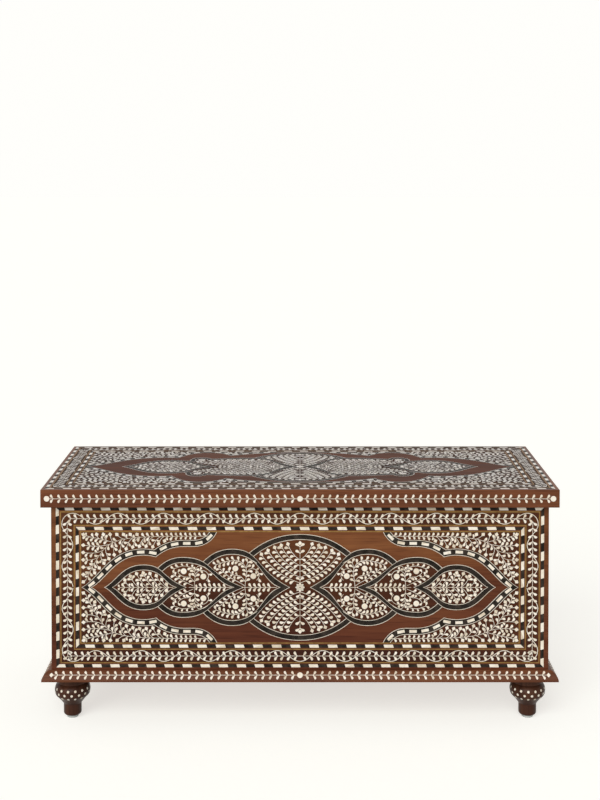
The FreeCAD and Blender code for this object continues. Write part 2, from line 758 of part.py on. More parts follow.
def foot_profile():
    """Half outline of the turned foot as edges in the x-z plane, about the z axis."""
    collar_bottom = FOOT_HEIGHT - COLLAR_HEIGHT
    bulb_rise = collar_bottom - BULB_CENTRE_HEIGHT

    def at(radius, height):
        return Vector(radius, 0, height)

    def arc(start, through, end):
        return Part.Arc(start, through, end).toShape()

    def line(start, end):
        return Part.makeLine(start, end)

    swell = math.sqrt(0.5)
    top = at(GROOVE_RADIUS, collar_bottom)
    waist = at(BULB_RADIUS, BULB_CENTRE_HEIGHT)
    upper = at(
        GROOVE_RADIUS + (BULB_RADIUS - GROOVE_RADIUS) * swell,
        BULB_CENTRE_HEIGHT + bulb_rise * swell,
    )
    flank_radius = ANKLE_RADIUS + (BULB_RADIUS - ANKLE_RADIUS) * (0.5 + FLANK_FULLNESS)
    flank_height = (BULB_CENTRE_HEIGHT + ANKLE_TOP_HEIGHT) / 2
    under = Part.BSplineCurve()
    under.interpolate(
        Points=[waist, at(flank_radius, flank_height), at(ANKLE_RADIUS, ANKLE_TOP_HEIGHT)],
        InitialTangent=-Z_AXIS,
        FinalTangent=-X_AXIS * FLANK_SLOPE - Z_AXIS,
    )
    ankle_round = at(ANKLE_RADIUS, GLIDE_HEIGHT + ANKLE_ROUND)
    sole = at(ANKLE_RADIUS - ANKLE_ROUND, GLIDE_HEIGHT)
    round_middle = at(ANKLE_RADIUS - ANKLE_ROUND * (1 - swell), GLIDE_HEIGHT + ANKLE_ROUND * (1 - swell))
    return [
        line(at(0, FOOT_HEIGHT), at(COLLAR_RADIUS, FOOT_HEIGHT)),
        line(at(COLLAR_RADIUS, FOOT_HEIGHT), at(COLLAR_RADIUS, collar_bottom)),
        line(at(COLLAR_RADIUS, collar_bottom), top),
        arc(top, upper, waist),
        under.toShape(),
        line(at(ANKLE_RADIUS, ANKLE_TOP_HEIGHT), ankle_round),
        arc(ankle_round, round_middle, sole),
        line(sole, at(0, GLIDE_HEIGHT)),
        line(at(0, GLIDE_HEIGHT), at(0, FOOT_HEIGHT)),
    ]


def foot_dot_rods(radius):
    """Radial rods of the three staggered dot rows, from inside the bulb to beyond it."""
    rods = []
    inner = BULB_RADIUS - DOT_DEPTH
    step = 360.0 / DOTS_PER_ROW
    for row in (1, 0, -1):
        tilt = row * DOT_ROW_SPACING / BULB_RADIUS
        height = BULB_CENTRE_HEIGHT + row * DOT_ROW_SPACING
        for index in range(DOTS_PER_ROW):
            turn = math.radians((index + (0.5 if row == 0 else 0.0)) * step)
            outward = Vector(math.cos(turn), math.sin(turn), math.tan(tilt) / 2).normalize()
            start = Vector(0, 0, height) + outward * (inner - abs(row) * DOT_DEPTH)
            rods.append(rod(radius, start, outward, 3 * DOT_DEPTH))
    return rods


def foot_with_dots():
    """Turned foot, bored for its dots, stud and nail, and the dots themselves."""
    wire = Part.Wire(Part.sortEdges(foot_profile())[0])
    foot = Part.Face(wire).revolve(Vector(0, 0, 0), Z_AXIS, 360)
    dots = foot.common(Part.makeCompound(foot_dot_rods(DOT_RADIUS))).Solids
    stud_depth = STUD_IN_FOOT + BORE_CLEARANCE
    stud_bore = rod(STUD_RADIUS + BORE_CLEARANCE, Vector(0, 0, FOOT_HEIGHT - stud_depth), Z_AXIS, stud_depth)
    nail_bore = rod(NAIL_RADIUS + BORE_CLEARANCE, Vector(0, 0, 0), Z_AXIS, NAIL_LENGTH + BORE_CLEARANCE)
    bores = [stud_bore, nail_bore, Part.makeCompound(foot_dot_rods(DOT_RADIUS + BORE_CLEARANCE / 2))]
    return foot.cut(bores), dots


def glide_nail():
    """Nail with its head sunk in the glide."""
    bottom = GLIDE_HEIGHT - NAIL_HEAD_THICKNESS - GLIDE_ROUND
    head = rod(NAIL_HEAD_RADIUS, Vector(0, 0, bottom), Z_AXIS, NAIL_HEAD_THICKNESS)
    return head.fuse(rod(NAIL_RADIUS, Vector(0, 0, bottom), Z_AXIS, NAIL_LENGTH - bottom))


def glide():
    """Round glide, moulded over the nail's head."""
    body = rod(GLIDE_RADIUS, Vector(0, 0, 0), Z_AXIS, GLIDE_HEIGHT)
    lower_edge = [edge for edge in body.Edges if edge.BoundBox.ZMax < GLIDE_ROUND / 2]
    return body.makeFillet(GLIDE_ROUND, lower_edge).cut(glide_nail())


def foot_stud():
    """Double-ended stud between foot and block."""
    start = Vector(0, 0, FOOT_HEIGHT - STUD_IN_FOOT)
    return rod(STUD_RADIUS, start, Z_AXIS, STUD_IN_FOOT + STUD_IN_BLOCK)


def corner_places():
    """Foot axes by corner name."""
    x = HALF_BODY - FOOT_INSET
    places = {}
    for depth_name, y in (("front", FRONT + FOOT_INSET), ("back", BACK - FOOT_INSET)):
        for side_name, side in (("left", -1), ("right", 1)):
            places["%s_%s" % (depth_name, side_name)] = Vector(side * x, y, 0)
    return places


def at_corners(shape):
    """One copy of a shape on each foot axis."""
    return [shape.translated(place) for place in corner_places().values()]


def save_feet():
    """Feet with their dots, studs, glides and nails."""
    foot, dots = foot_with_dots()
    for name, place in corner_places().items():
        save("foot_" + name, foot.translated(place))
    save("foot_dots", *flatten(at_corners(Part.makeCompound(dots))))
    save("foot_studs", *at_corners(foot_stud()))
    save("foot_glides", *at_corners(glide()))
    save("glide_nails", *at_corners(glide_nail()))


# Carcass

def save_panels():
    """Mitred panels of the four sides, with the inlay of the front and the ends."""
    x, inner_x = HALF_BODY, INNER_END
    front = front_field()
    front_outline = ((-x, FRONT), (x, FRONT), (inner_x, INNER_FRONT), (-inner_x, INNER_FRONT))
    front_panel = plank(front_outline, FOOT_HEIGHT, RIM)
    save("front_panel", cut_all(front_panel, front.sunk_pockets()))
    save_inlay("front", front)

    back_outline = ((-x, BACK), (x, BACK), (inner_x, INNER_BACK), (-inner_x, INNER_BACK))
    back_tools = [leaf_mortise(centre, -1) for centre in HINGE_CENTRES]
    back_panel = plank(back_outline, FOOT_HEIGHT, RIM)
    save("back_panel", cut_all(back_panel, back_tools + carcass_screws(BORE_CLEARANCE)))

    for name, side in (("left", -1), ("right", 1)):
        end = end_field(side)
        outline = (
            (side * x, FRONT),
            (side * x, BACK),
            (side * inner_x, INNER_BACK),
            (side * inner_x, INNER_FRONT),
        )
        panel = plank(outline, FOOT_HEIGHT, RIM)
        save(name + "_end_panel", cut_all(panel, end.sunk_pockets() + [stay_screw_bore(side)]))
        save_inlay(name + "_end", end)


def save_inner_frame():
    """Bottom board with its cleats, foot blocks and corner posts."""
    gap = BOTTOM_CLEARANCE
    board = block(
        (gap - INNER_END, INNER_END - gap), (INNER_FRONT + gap, INNER_BACK - gap), (BOARD_BOTTOM, BOARD_TOP)
    )
    save("bottom_board", board)
    low = (FOOT_HEIGHT, BOARD_BOTTOM)
    reach = INNER_END - BLOCK_SIDE
    near, far = INNER_FRONT + BLOCK_SIDE, INNER_BACK - BLOCK_SIDE
    save("bottom_cleat_front", block((-reach, reach), (INNER_FRONT, INNER_FRONT + CLEAT_WIDTH), low))
    save("bottom_cleat_back", block((-reach, reach), (INNER_BACK - CLEAT_WIDTH, INNER_BACK), low))
    save("bottom_cleat_left", block((-INNER_END, CLEAT_WIDTH - INNER_END), (near, far), low))
    save("bottom_cleat_right", block((INNER_END - CLEAT_WIDTH, INNER_END), (near, far), low))
    heights = (BOARD_TOP, RIM - POST_TOP_GAP)
    for name, place in corner_places().items():
        x_side = math.copysign(1, place.x)
        y_wall, y_side = (INNER_FRONT, 1) if place.y < (FRONT + BACK) / 2 else (INNER_BACK, -1)

        def corner_block(size, z_range):
            x_range = sorted((x_side * INNER_END, x_side * (INNER_END - size)))
            return block(x_range, sorted((y_wall, y_wall + y_side * size)), z_range)

        start = Vector(place.x, place.y, FOOT_HEIGHT)
        bore = rod(STUD_RADIUS + BORE_CLEARANCE, start, Z_AXIS, STUD_IN_BLOCK + BORE_CLEARANCE)
        save("foot_block_" + name, corner_block(BLOCK_SIDE, low).cut(bore))
        save("corner_post_" + name, corner_block(POST_SIDE, heights))


def moulding_bar(start, direction, outward, length):
    """Length of base moulding along a wall."""
    def at(reach, height):
        return start + outward * reach + Z_AXIS * height

    low = at(MOULDING_PROJECTION, MOULDING_SQUARE)
    high = at(MOULDING_TOP_EDGE, MOULDING_HEIGHT)
    chord = high - low
    normal = chord.cross(direction).normalize()
    normal = normal if normal.dot(outward) > 0 else -normal
    swell = (low + high) / 2 + normal * MOULDING_BULGE
    corners = [high, at(0, MOULDING_HEIGHT), at(0, 0), at(MOULDING_PROJECTION, 0), low]
    edges = [Part.makeLine(one, two) for one, two in zip(corners, corners[1:])]
    edges.append(Part.Arc(low, swell, high).toShape())
    return Part.Face(Part.Wire(edges)).extrude(direction * length)


def save_mouldings():
    """Base moulding on the front and the ends, mitred at the front corners."""
    reach = MOULDING_PROJECTION
    x, outer = HALF_BODY, HALF_BODY + reach
    front_start = Vector(-outer, FRONT, FOOT_HEIGHT)
    bar = moulding_bar(front_start, X_AXIS, -Y_AXIS, 2 * outer)
    outline = ((-x, FRONT), (-outer, FRONT - reach), (outer, FRONT - reach), (x, FRONT))
    save("base_moulding_front", bar.common(plank(outline, FOOT_HEIGHT, MOULDING_TOP)))
    side_start = Vector(x, FRONT - reach, FOOT_HEIGHT)
    bar = moulding_bar(side_start, Y_AXIS, X_AXIS, BODY_DEPTH + reach)
    outline = ((x, FRONT), (outer, FRONT - reach), (outer, BACK), (x, BACK))
    side = bar.common(plank(outline, FOOT_HEIGHT, MOULDING_TOP))
    save("base_moulding_right", side)
    save("base_moulding_left", mirror_x(side))


# Lid

def rounded_lip(outline, outer_edge):
    """Lip over an outline, with its outer long edges eased."""
    lip = plank(outline, LIP_BOTTOM, LID_TOP)
    edges = [edge for edge in lip.Edges if all(outer_edge(vertex.Point) for vertex in edge.Vertexes)]
    long_edges = [edge for edge in edges if edge.Length > LIP_HEIGHT + LIP_THICKNESS]
    return lip.makeFillet(EDGE_ROUND, long_edges)


def save_lid():
    """Lid panel, lips, battens and the inlay of the top."""
    field = lid_field()
    grooves = field.sunk(field.rings)
    x, inner_x = HALF_LID, HALF_LID - LIP_THICKNESS
    inner_front = LID_FRONT + LIP_THICKNESS
    mortises = [leaf_mortise(centre, 1) for centre in HINGE_CENTRES]
    panel = block((-inner_x, inner_x), (inner_front, BACK), (RIM, LID_TOP))
    save("lid_panel", cut_all(panel, field.sunk_pockets() + mortises + lid_screws(BORE_CLEARANCE)))
    save_inlay("lid", field)

    outline = ((-x, LID_FRONT), (x, LID_FRONT), (inner_x, inner_front), (-inner_x, inner_front))
    front_lip = rounded_lip(outline, lambda point: point.y < LID_FRONT + EDGE_ROUND)
    save("lid_lip_front", front_lip.cut(grooves))
    for name, side in (("left", -1), ("right", 1)):
        outline = (
            (side * x, LID_FRONT),
            (side * x, BACK),
            (side * inner_x, BACK),
            (side * inner_x, inner_front),
        )
        lip = rounded_lip(outline, lambda point: abs(point.x) > HALF_LID - EDGE_ROUND)
        save("lid_lip_" + name, lip.cut(grooves))
        middle = side * BATTEN_SPACING / 2
        x_range = (middle - BATTEN_WIDTH / 2, middle + BATTEN_WIDTH / 2)
        y_range = (INNER_FRONT + BATTEN_END_GAP, INNER_BACK - BATTEN_END_GAP)
        save("lid_batten_" + name, block(x_range, y_range, (RIM - BATTEN_THICKNESS, RIM)))


# Hinges, stays and their screws

def save_ironwork():
    """Hinges, pins, screws and stays."""
    lower_holes = carcass_screws(BORE_CLEARANCE)
    upper_holes = lid_screws(BORE_CLEARANCE)
    for name, side, centre in zip(("left", "right"), (-1, 1), HINGE_CENTRES):
        save("hinge_%s_carcass_leaf" % name, cut_all(hinge_leaf(centre, -1, (0, 2)), lower_holes))
        save("hinge_%s_lid_leaf" % name, cut_all(hinge_leaf(centre, 1, (1,)), upper_holes))
        save("stay_arm_" + name, stay_arm(side))
        save("stay_stud_" + name, stay_stud(side))
        save("stay_bracket_" + name, stay_bracket(side))
    save("hinge_pins", *[hinge_pin(centre) for centre in HINGE_CENTRES])
    save("carcass_screws", *carcass_screws())
    save("lid_screws", *lid_screws())


os.makedirs("parts", exist_ok=True)
save_panels()
save_inner_frame()
save_mouldings()
save_feet()
save_lid()
save_ironwork()
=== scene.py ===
import math
from bisect import bisect_left

import bpy
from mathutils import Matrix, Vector


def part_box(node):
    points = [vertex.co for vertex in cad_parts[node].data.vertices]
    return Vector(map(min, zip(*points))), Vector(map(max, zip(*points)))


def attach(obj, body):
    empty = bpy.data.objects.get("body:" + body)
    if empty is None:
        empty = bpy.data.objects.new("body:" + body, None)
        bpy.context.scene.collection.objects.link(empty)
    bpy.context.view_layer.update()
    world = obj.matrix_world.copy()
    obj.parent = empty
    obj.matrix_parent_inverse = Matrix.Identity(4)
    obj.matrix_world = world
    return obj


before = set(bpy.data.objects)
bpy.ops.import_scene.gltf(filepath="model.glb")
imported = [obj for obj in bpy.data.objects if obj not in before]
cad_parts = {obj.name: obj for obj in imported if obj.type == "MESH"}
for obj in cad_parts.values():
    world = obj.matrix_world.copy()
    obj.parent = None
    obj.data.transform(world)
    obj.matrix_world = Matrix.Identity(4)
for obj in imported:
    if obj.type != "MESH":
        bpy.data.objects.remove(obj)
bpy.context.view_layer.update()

# Looks of the inlaid chest: leafy bone inlay on its faces, finishes, floor, light and camera.
# Drawings are in millimetres, meshes in metres.
MM = 0.001
LOW, HIGH = 0, 1


def side_of(node, corner, axis):
    """Coordinate of one side of a CAD node's box, in millimetres."""
    return getattr(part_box(node)[corner], axis) / MM


# Planes of the chest
FRONT = side_of("front_panel", LOW, "y")
BACK = side_of("back_panel", HIGH, "y")
HALF_BODY = side_of("right_end_panel", HIGH, "x")
LID_FRONT = side_of("lid_lip_front", LOW, "y")
LID_TOP = side_of("lid_panel", HIGH, "z")
HALF_LID = side_of("lid_lip_right", HIGH, "x")
LIP_BOTTOM = side_of("lid_lip_front", LOW, "z")
MOULDING_TOP = side_of("base_moulding_front", HIGH, "z")
MOULDING_BOTTOM = side_of("base_moulding_front", LOW, "z")
MOULDING_PROJECTION = FRONT - side_of("base_moulding_front", LOW, "y")
END_MIDDLE = (FRONT + BACK) / 2
LID_MIDDLE = (LID_FRONT + BACK) / 2
LIP_MIDDLE = (LIP_BOTTOM + LID_TOP) / 2
FIELD_MIDDLE = (LIP_BOTTOM + MOULDING_TOP) / 2

# Inlay of the CAD model: borders, ribbons, strips and lobes, as the part has them
LID_MARGIN = 8.0
SIDE_MARGIN = 10.5
TOP_MARGIN = 4.0
BAND_START = 11.6
BAND_WIDTH = 28.0
BORDER_WIDTH = 55.8
RIBBON_WIDTH = 12.5
CURL_RADIUS = 27.0
NOSE_RADIUS = 40.0
TIP_RATIO = 1.5
LOBE_POLES = ((0.0, 1.0), (0.55, 1.0), (0.70, 0.25), (1.0, 0.0))
HOLLOW_POLES = ((0.0, 1.0), (0.49, 1.0), (0.37, 0.49), (1.0, 0.0))
HOLLOW_INNER_POLES = ((0.0, 1.0), (0.63, 1.0), (0.61, 0.17), (1.0, 0.0))
HOLLOW_TIP_RATIO = 1.88
FRONT_LOBES = (
    (-0.716, 0.178, 0.1985, 0.411),
    (-0.538, 0.2005, 0.2824, 0.5475),
    (-0.311, 0.2437, 0.266, 0.6965),
    (0.0, 0.418, 0.418, 0.963),
)
FRONT_STRIP_LOBES = ((-0.715, 0.283, 0.283, 0.70), (-0.53, 0.31, 0.31, 0.857))
FRONT_NOSE = -0.482
LID_LOBES = (
    (-0.610, 0.220, 0.220, 0.424),
    (-0.222, 0.55, 0.212, 0.583),
    (0.0, 0.378, 0.378, 0.94),
)
LID_STRIP_LOBES = (
    (-0.639, 0.394, 0.335, 0.69),
    (-0.443, 0.283, 0.283, 1.035),
    (0.0, 0.743, 0.743, 1.055),
)
LID_CURL = (-0.468, 0.435)
END_LOBES = ((0.0, 0.70, 0.70, 0.66),)
END_STRIP_LOBES = ((0.0, 0.97, 0.97, 0.95),)

# Base moulding's curved face: square edge, top edge and bulge
MOULDING_SQUARE = 3.5
MOULDING_TOP_EDGE = 6.0
MOULDING_BULGE = 2.6

# Leafy inlay: the pieces stand a hair above the polished wood
LEAF_RISE = 0.10
STEM_RISE = 0.07
GROUND_RISE = 0.03
INLAY_SINK = 0.4
STEM_WIDTH = 0.95
LEAF_SHAPE = ((0.0, 0.16), (0.28, 0.28), (0.48, 0.72), (0.64, 0.98), (0.82, 1.0), (0.94, 0.74), (1.0, 0.36))
LEAF = (11.0, 5.6)
FAN_LEAF = (12.0, 6.2)
LEAF_ANGLE = math.radians(44)
LEAF_CURL = 0.14
LEAF_PITCH = 10.4
LEAF_SIZES = (1.0, 0.86, 0.74, 0.64)
LEAF_SPOTS = ((0.45, 0.28), (0.72, 0.48), (0.90, 0.36))
FIRST_LEAF = 2
PETAL_SHAPE = ((0.0, 0.62), (0.3, 0.86), (0.6, 0.70), (0.85, 0.36), (1.0, 0.10))
BUD_SHAPE = ((0.0, 0.16), (0.27, 0.62), (0.5, 1.0), (0.73, 0.62), (1.0, 0.16))
BUD_SIZE = 9.0
BUD_REACH = 0.42 * BUD_SIZE
BUD_ROOM = 0.4 * BUD_SIZE
FLOWER_RADIUS = 6.5
DISC_SLICES = 10
DISC_TIP = 0.03
EDGE_GAP = 0.4
LEAF_GAP = 0.35

# Rosette: petals round a ring, in shares of its radius
ROSETTE_PETALS = 8
RING_STEPS = 24
RING_REACH = 0.36
RING_WIDTH = 0.46
PETAL_START = 0.45
PETAL_LENGTH = 0.55
PETAL_FULLNESS = 1.6

# Growth of the vines
STEP = 1.5
CURVE_STEPS = 200
SPLINE_STEPS = 60
PROFILE_STEPS = 400
HALF_COLUMN = 0.5
CELL = 10.0
ROW_PITCH = 16.6
ROW_START = 24.0
STRIP_LEAD = 50.0
TOP_PITCH = 15.0
STRIP_PITCH = 15.0
BUD_INSET = 5.2
STRIP_INSET = 6.0
TREE_PITCH = 14.8
TREE_LEAD = 8
OFFSHOOT_LEAN = 0.85
OFFSHOOT_SWEEP = 0.22
SHORTEST_OFFSHOOT = 9.0
OPEN_AXIS = -30.0
COMPASS = [(math.cos(turn * math.pi / 4), math.sin(turn * math.pi / 4)) for turn in range(8)]

# Mirror images of a drawing, as signs of x and y
ONCE = ((1, 1),)
SIDES = ((1, 1), (-1, 1))
RISES = ((1, 1), (1, -1))
QUARTERS = ((1, 1), (-1, 1), (1, -1), (-1, -1))
LEFT, RIGHT = 1, -1


class Face:
    """Flat face that carries a drawing: x to the right, y up, height outward."""

    def __init__(self, origin, right, up):
        self.origin = Vector(origin)
        self.right = Vector(right)
        self.up = Vector(up)
        self.out = self.right.cross(self.up)

    def at(self, x, y, height):
        """Point of the drawing in metres."""
        return (self.origin + self.right * x + self.up * y + self.out * height) * MM


class MouldingFace(Face):
    """Bulging face of the base moulding; y runs along its curve from the middle."""

    def __init__(self, origin, right, up):
        super().__init__(origin, right, up)
        rise = MOULDING_TOP - MOULDING_BOTTOM - MOULDING_SQUARE
        run = MOULDING_PROJECTION - MOULDING_TOP_EDGE
        half_chord = math.hypot(rise, run) / 2
        self.radius = (half_chord ** 2 + MOULDING_BULGE ** 2) / (2 * MOULDING_BULGE)
        self.tilt = math.atan2(run, rise)
        depth = self.radius - MOULDING_BULGE
        self.centre_reach = MOULDING_TOP_EDGE + run / 2 - depth * math.cos(self.tilt)
        self.centre_rise = MOULDING_SQUARE + rise / 2 - depth * math.sin(self.tilt)

    def at(self, x, y, height):
        """Point of the drawing in metres."""
        turn = self.tilt + y / self.radius
        reach = self.centre_reach + (self.radius + height) * math.cos(turn)
        rise = self.centre_rise + (self.radius + height) * math.sin(turn)
        return super().at(x, rise, reach)


class Pieces:
    """Thin inlay pieces of one face, gathered into one mesh."""

    def __init__(self, face):
        self.face = face
        self.vertices = []
        self.polygons = []

    def add(self, pairs, rise):
        """Closed sliver along pairs of left and right points, its top a little above the face."""
        base = len(self.vertices)
        for left, right in pairs:
            for height in (rise, -INLAY_SINK):
                self.vertices.append(self.face.at(*left, height))
                self.vertices.append(self.face.at(*right, height))
        last = base + 4 * (len(pairs) - 1)
        self.polygons.append((base + 2, base + 3, base + 1, base))
        self.polygons.append((last + 3, last + 2, last, last + 1))
        for one in range(base, last, 4):
            two = one + 4
            self.polygons.append((one + 1, two + 1, two, one))
            self.polygons.append((one + 2, two + 2, two + 3, one + 3))
            self.polygons.append((one + 3, two + 3, two + 1, one + 1))
            self.polygons.append((two + 2, one + 2, one, two))

    def add_shapes(self, shapes):
        """Every shape in each of its mirror images."""
        for pairs, rise, mirrors in shapes:
            for side, lift in mirrors:
                moved = [[(side * x, lift * y) for x, y in pair] for pair in pairs]
                self.add(moved if side * lift > 0 else [pair[::-1] for pair in moved], rise)


def add_object(name, data):
    """New object in the scene."""
    made = bpy.data.objects.new(name, data)
    bpy.context.scene.collection.objects.link(made)
    return made


def make_object(name, sets, body, material):
    """Mesh object from gathered pieces, riding on a body."""
    vertices, polygons = [], []
    for pieces in sets:
        shift = len(vertices)
        vertices += pieces.vertices
        polygons += [[index + shift for index in polygon] for polygon in pieces.polygons]
    mesh = bpy.data.meshes.new(name)
    mesh.from_pydata(vertices, [], polygons)
    mesh.update()
    made = add_object(name, mesh)
    made.data.materials.append(MATERIALS[material])
    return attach(made, body)


# Curves and small shapes

def bezier(poles, share):
    """Point of a cubic curve."""
    rest = 1 - share
    weights = (rest ** 3, 3 * rest ** 2 * share, 3 * rest * share ** 2, share ** 3)
    return tuple(sum(weight * pole[axis] for weight, pole in zip(weights, poles)) for axis in (0, 1))


def even_steps(points):
    """Points spread one step apart along a fine polyline."""
    spread = [points[0]]
    for point in points[1:]:
        while True:
            last = spread[-1]
            distance = math.dist(last, point)
            if distance < STEP:
                break
            share = STEP / distance
            spread.append((last[0] + share * (point[0] - last[0]), last[1] + share * (point[1] - last[1])))
    return spread


def curve(*poles):
    """Cubic curve in even steps."""
    return even_steps([bezier(poles, step / CURVE_STEPS) for step in range(CURVE_STEPS + 1)])


def spline(*points):
    """Smooth path through points, in even steps."""
    fine = []
    padded = (points[0],) + points + (points[-1],)
    for before, start, end, after in zip(padded, padded[1:], padded[2:], padded[3:]):
        lead = [start[axis] + (end[axis] - before[axis]) / 6 for axis in (0, 1)]
        trail = [end[axis] - (after[axis] - start[axis]) / 6 for axis in (0, 1)]
        fine += [bezier((start, lead, trail, end), step / SPLINE_STEPS) for step in range(SPLINE_STEPS)]
    return even_steps(fine + [points[-1]])


def spaced(points, pitch):
    """Points a pitch apart along a polyline."""
    return even_steps(points)[::round(pitch / STEP)]


def heading_at(path, index):
    """Direction of a path at one of its points, as an angle."""
    before = path[max(index - 1, 0)]
    after = path[min(index + 1, len(path) - 1)]
    return math.atan2(after[1] - before[1], after[0] - before[0])


def tapered(x, y, heading, length, width, shape, curl=0.0):
    """Pairs of a small piece from its base along a heading."""
    along = (math.cos(heading), math.sin(heading))
    across = (-along[1], along[0])
    pairs = []
    for share, spread in shape:
        bow = curl * share * share * length
        middle = [(x, y)[axis] + share * length * along[axis] + bow * across[axis] for axis in (0, 1)]
        half = spread * width / 2
        pairs.append([(middle[0] + side * half * across[0], middle[1] + side * half * across[1])
                      for side in (LEFT, RIGHT)])
    return pairs


def bud(x, y, heading):
    """Four-pointed bud round a point."""
    start = (x - math.cos(heading) * BUD_SIZE / 2, y - math.sin(heading) * BUD_SIZE / 2)
    return tapered(*start, heading, BUD_SIZE, BUD_SIZE, BUD_SHAPE)


def disc(x, y, radius):
    """Round piece, sliced along y."""
    pairs = []
    for step in range(DISC_SLICES + 1):
        turn = math.pi * min(max(step / DISC_SLICES, DISC_TIP), 1 - DISC_TIP)
        half = radius * math.sin(turn)
        height = y - radius * math.cos(turn)
        pairs.append([(x - half, height), (x + half, height)])
    return pairs


def thinned(path):
    """Every other point of a path, and its end."""
    return path[:-1:2] + path[-1:]


def ribbon(path, width):
    """Pairs of a thin line along a path."""
    pairs = []
    for index, (x, y) in enumerate(path):
        heading = heading_at(path, index)
        across = (-math.sin(heading) * width / 2, math.cos(heading) * width / 2)
        pairs.append([(x + across[0], y + across[1]), (x - across[0], y - across[1])])
    return pairs


def rosette(x, y, radius, mirrors):
    """Ring with pointed petals round a point."""
    def on_circle(turn, share):
        return x + share * radius * math.cos(turn), y + share * radius * math.sin(turn)

    ring = [on_circle(2 * math.pi * step / RING_STEPS, RING_REACH) for step in range(RING_STEPS + 1)]
    shapes = [(ribbon(ring, RING_WIDTH * radius), LEAF_RISE, mirrors)]
    width = PETAL_FULLNESS * math.pi * radius / ROSETTE_PETALS
    for petal in range(ROSETTE_PETALS):
        heading = 2 * math.pi * petal / ROSETTE_PETALS
        start = on_circle(heading, PETAL_START)
        pairs = tapered(*start, heading, PETAL_LENGTH * radius, width, PETAL_SHAPE)
        shapes.append((pairs, LEAF_RISE, mirrors))
    return shapes


class Vine:
    """Stems and leaves that fill a region of a drawing and keep clear of each other."""

    def __init__(self, inside, leaf=LEAF, pitch=LEAF_PITCH):
        self.inside = inside
        self.leaf = leaf
        self.pitch = pitch
        self.stems = []
        self.shapes = []
        self.taken = {}

    def mark(self, x, y, radius, owner):
        """Note that a round spot is taken."""
        self.taken.setdefault((int(x // CELL), int(y // CELL)), []).append((x, y, radius, owner))

    def is_free(self, x, y, radius, owner):
        """Whether a round spot touches nothing that another stem owns."""
        column, row = int(x // CELL), int(y // CELL)
        for cell in [(column + i, row + j) for i in (-1, 0, 1) for j in (-1, 0, 1)]:
            for other_x, other_y, other_radius, other in self.taken.get(cell, ()):
                if other != owner and math.hypot(x - other_x, y - other_y) < radius + other_radius:
                    return False
        return True

    def has_room(self, x, y, margin):
        """Whether a spot lies inside the region, clear of its edge."""
        return all(self.inside(x + margin * along, y + margin * up) for along, up in COMPASS)

    def add_stem(self, path, mirrors=QUARTERS, sides=(LEFT, RIGHT)):
        """Stem along a path; its number is returned."""
        owner = len(self.stems)
        self.stems.append((path, sides))
        if len(path) > 1:
            self.shapes.append((ribbon(thinned(path), STEM_WIDTH), STEM_RISE, mirrors))
        for x, y in path:
            self.mark(x, y, STEM_WIDTH / 2, owner)
        return owner

    def add_bud(self, x, y, heading, mirrors=QUARTERS):
        """Bud that ends a stem."""
        self.shapes.append((bud(x, y, heading), LEAF_RISE, mirrors))
        self.mark(x, y, BUD_REACH, None)

    def add_flower(self, x, y):
        """Round flower."""
        self.shapes.append((disc(x, y, FLOWER_RADIUS), LEAF_RISE, QUARTERS))
        self.mark(x, y, FLOWER_RADIUS + LEAF_GAP, None)

    def add_offshoots(self, owners, ends):
        """Branches that leave the nearest of some stems along it and bend to buds at the ends."""
        for end in ends:
            distance, owner, index = min(
                (math.dist(point, end), owner, index)
                for owner in owners for index, point in enumerate(self.stems[owner][0])
            )
            path = self.stems[owner][0]
            root = max(index - round(OFFSHOOT_LEAN * distance / STEP), 0)
            start, heading = path[root], heading_at(path, root)
            ahead, reach = (math.cos(heading), math.sin(heading)), math.dist(start, end)
            lead = []
            for axis in (0, 1):
                sweep = ahead[axis] * reach + end[axis] - start[axis]
                lead.append(start[axis] + OFFSHOOT_SWEEP * sweep)
            trail = [(lead[axis] + end[axis]) / 2 for axis in (0, 1)]
            twig = curve(start, lead, trail, end)
            if len(twig) * STEP < SHORTEST_OFFSHOOT or not self.has_room(*end, BUD_ROOM):
                continue
            self.add_stem(twig)
            self.add_bud(*end, heading_at(twig, len(twig) - 1))

    def try_leaf(self, x, y, heading, side, size, owner):
        """Add a leaf if it fits at this size."""
        length, width = size * self.leaf[0], math.sqrt(size) * self.leaf[1]
        spots = []
        for share, spread in LEAF_SPOTS:
            bow = LEAF_CURL * side * share * share * length
            spot_x = x + share * length * math.cos(heading) - bow * math.sin(heading)
            spot_y = y + share * length * math.sin(heading) + bow * math.cos(heading)
            radius = spread * width
            if not self.has_room(spot_x, spot_y, radius + EDGE_GAP):
                return False
            if not self.is_free(spot_x, spot_y, radius + LEAF_GAP, owner):
                return False
            spots.append((spot_x, spot_y, radius))
        for spot in spots:
            self.mark(*spot, ("leaf", len(self.shapes)))
        pairs = tapered(x, y, heading, length, width, LEAF_SHAPE, LEAF_CURL * side)
        self.shapes.append((pairs, LEAF_RISE, QUARTERS))
        return True

    def leaf_out(self, owner, pitch=None, first=FIRST_LEAF):
        """Leaves along a stem, in pairs where both sides have room."""
        path, sides = self.stems[owner]
        every = round((pitch or self.pitch) / STEP)
        for index in range(min(first, len(path) - 1), len(path), every):
            for side in sides:
                heading = heading_at(path, index) + side * LEAF_ANGLE
                for size in LEAF_SIZES:
                    if self.try_leaf(*path[index], heading, side, size, owner):
                        break

    def leaf_all(self):
        """Leaves on all stems."""
        for owner in range(len(self.stems)):
            self.leaf_out(owner)
        return self


# Regions of the decorated faces

def profile(poles):
    """Fine points of a lobe's quarter outline, in shares of its half sizes."""
    return [bezier(poles, step / PROFILE_STEPS) for step in range(PROFILE_STEPS + 1)]


def profile_height(points, share):
    """Height of a quarter outline at a share of its half length."""
    return points[bisect_left(points, (share,))][1] if share < 1 else 0.0


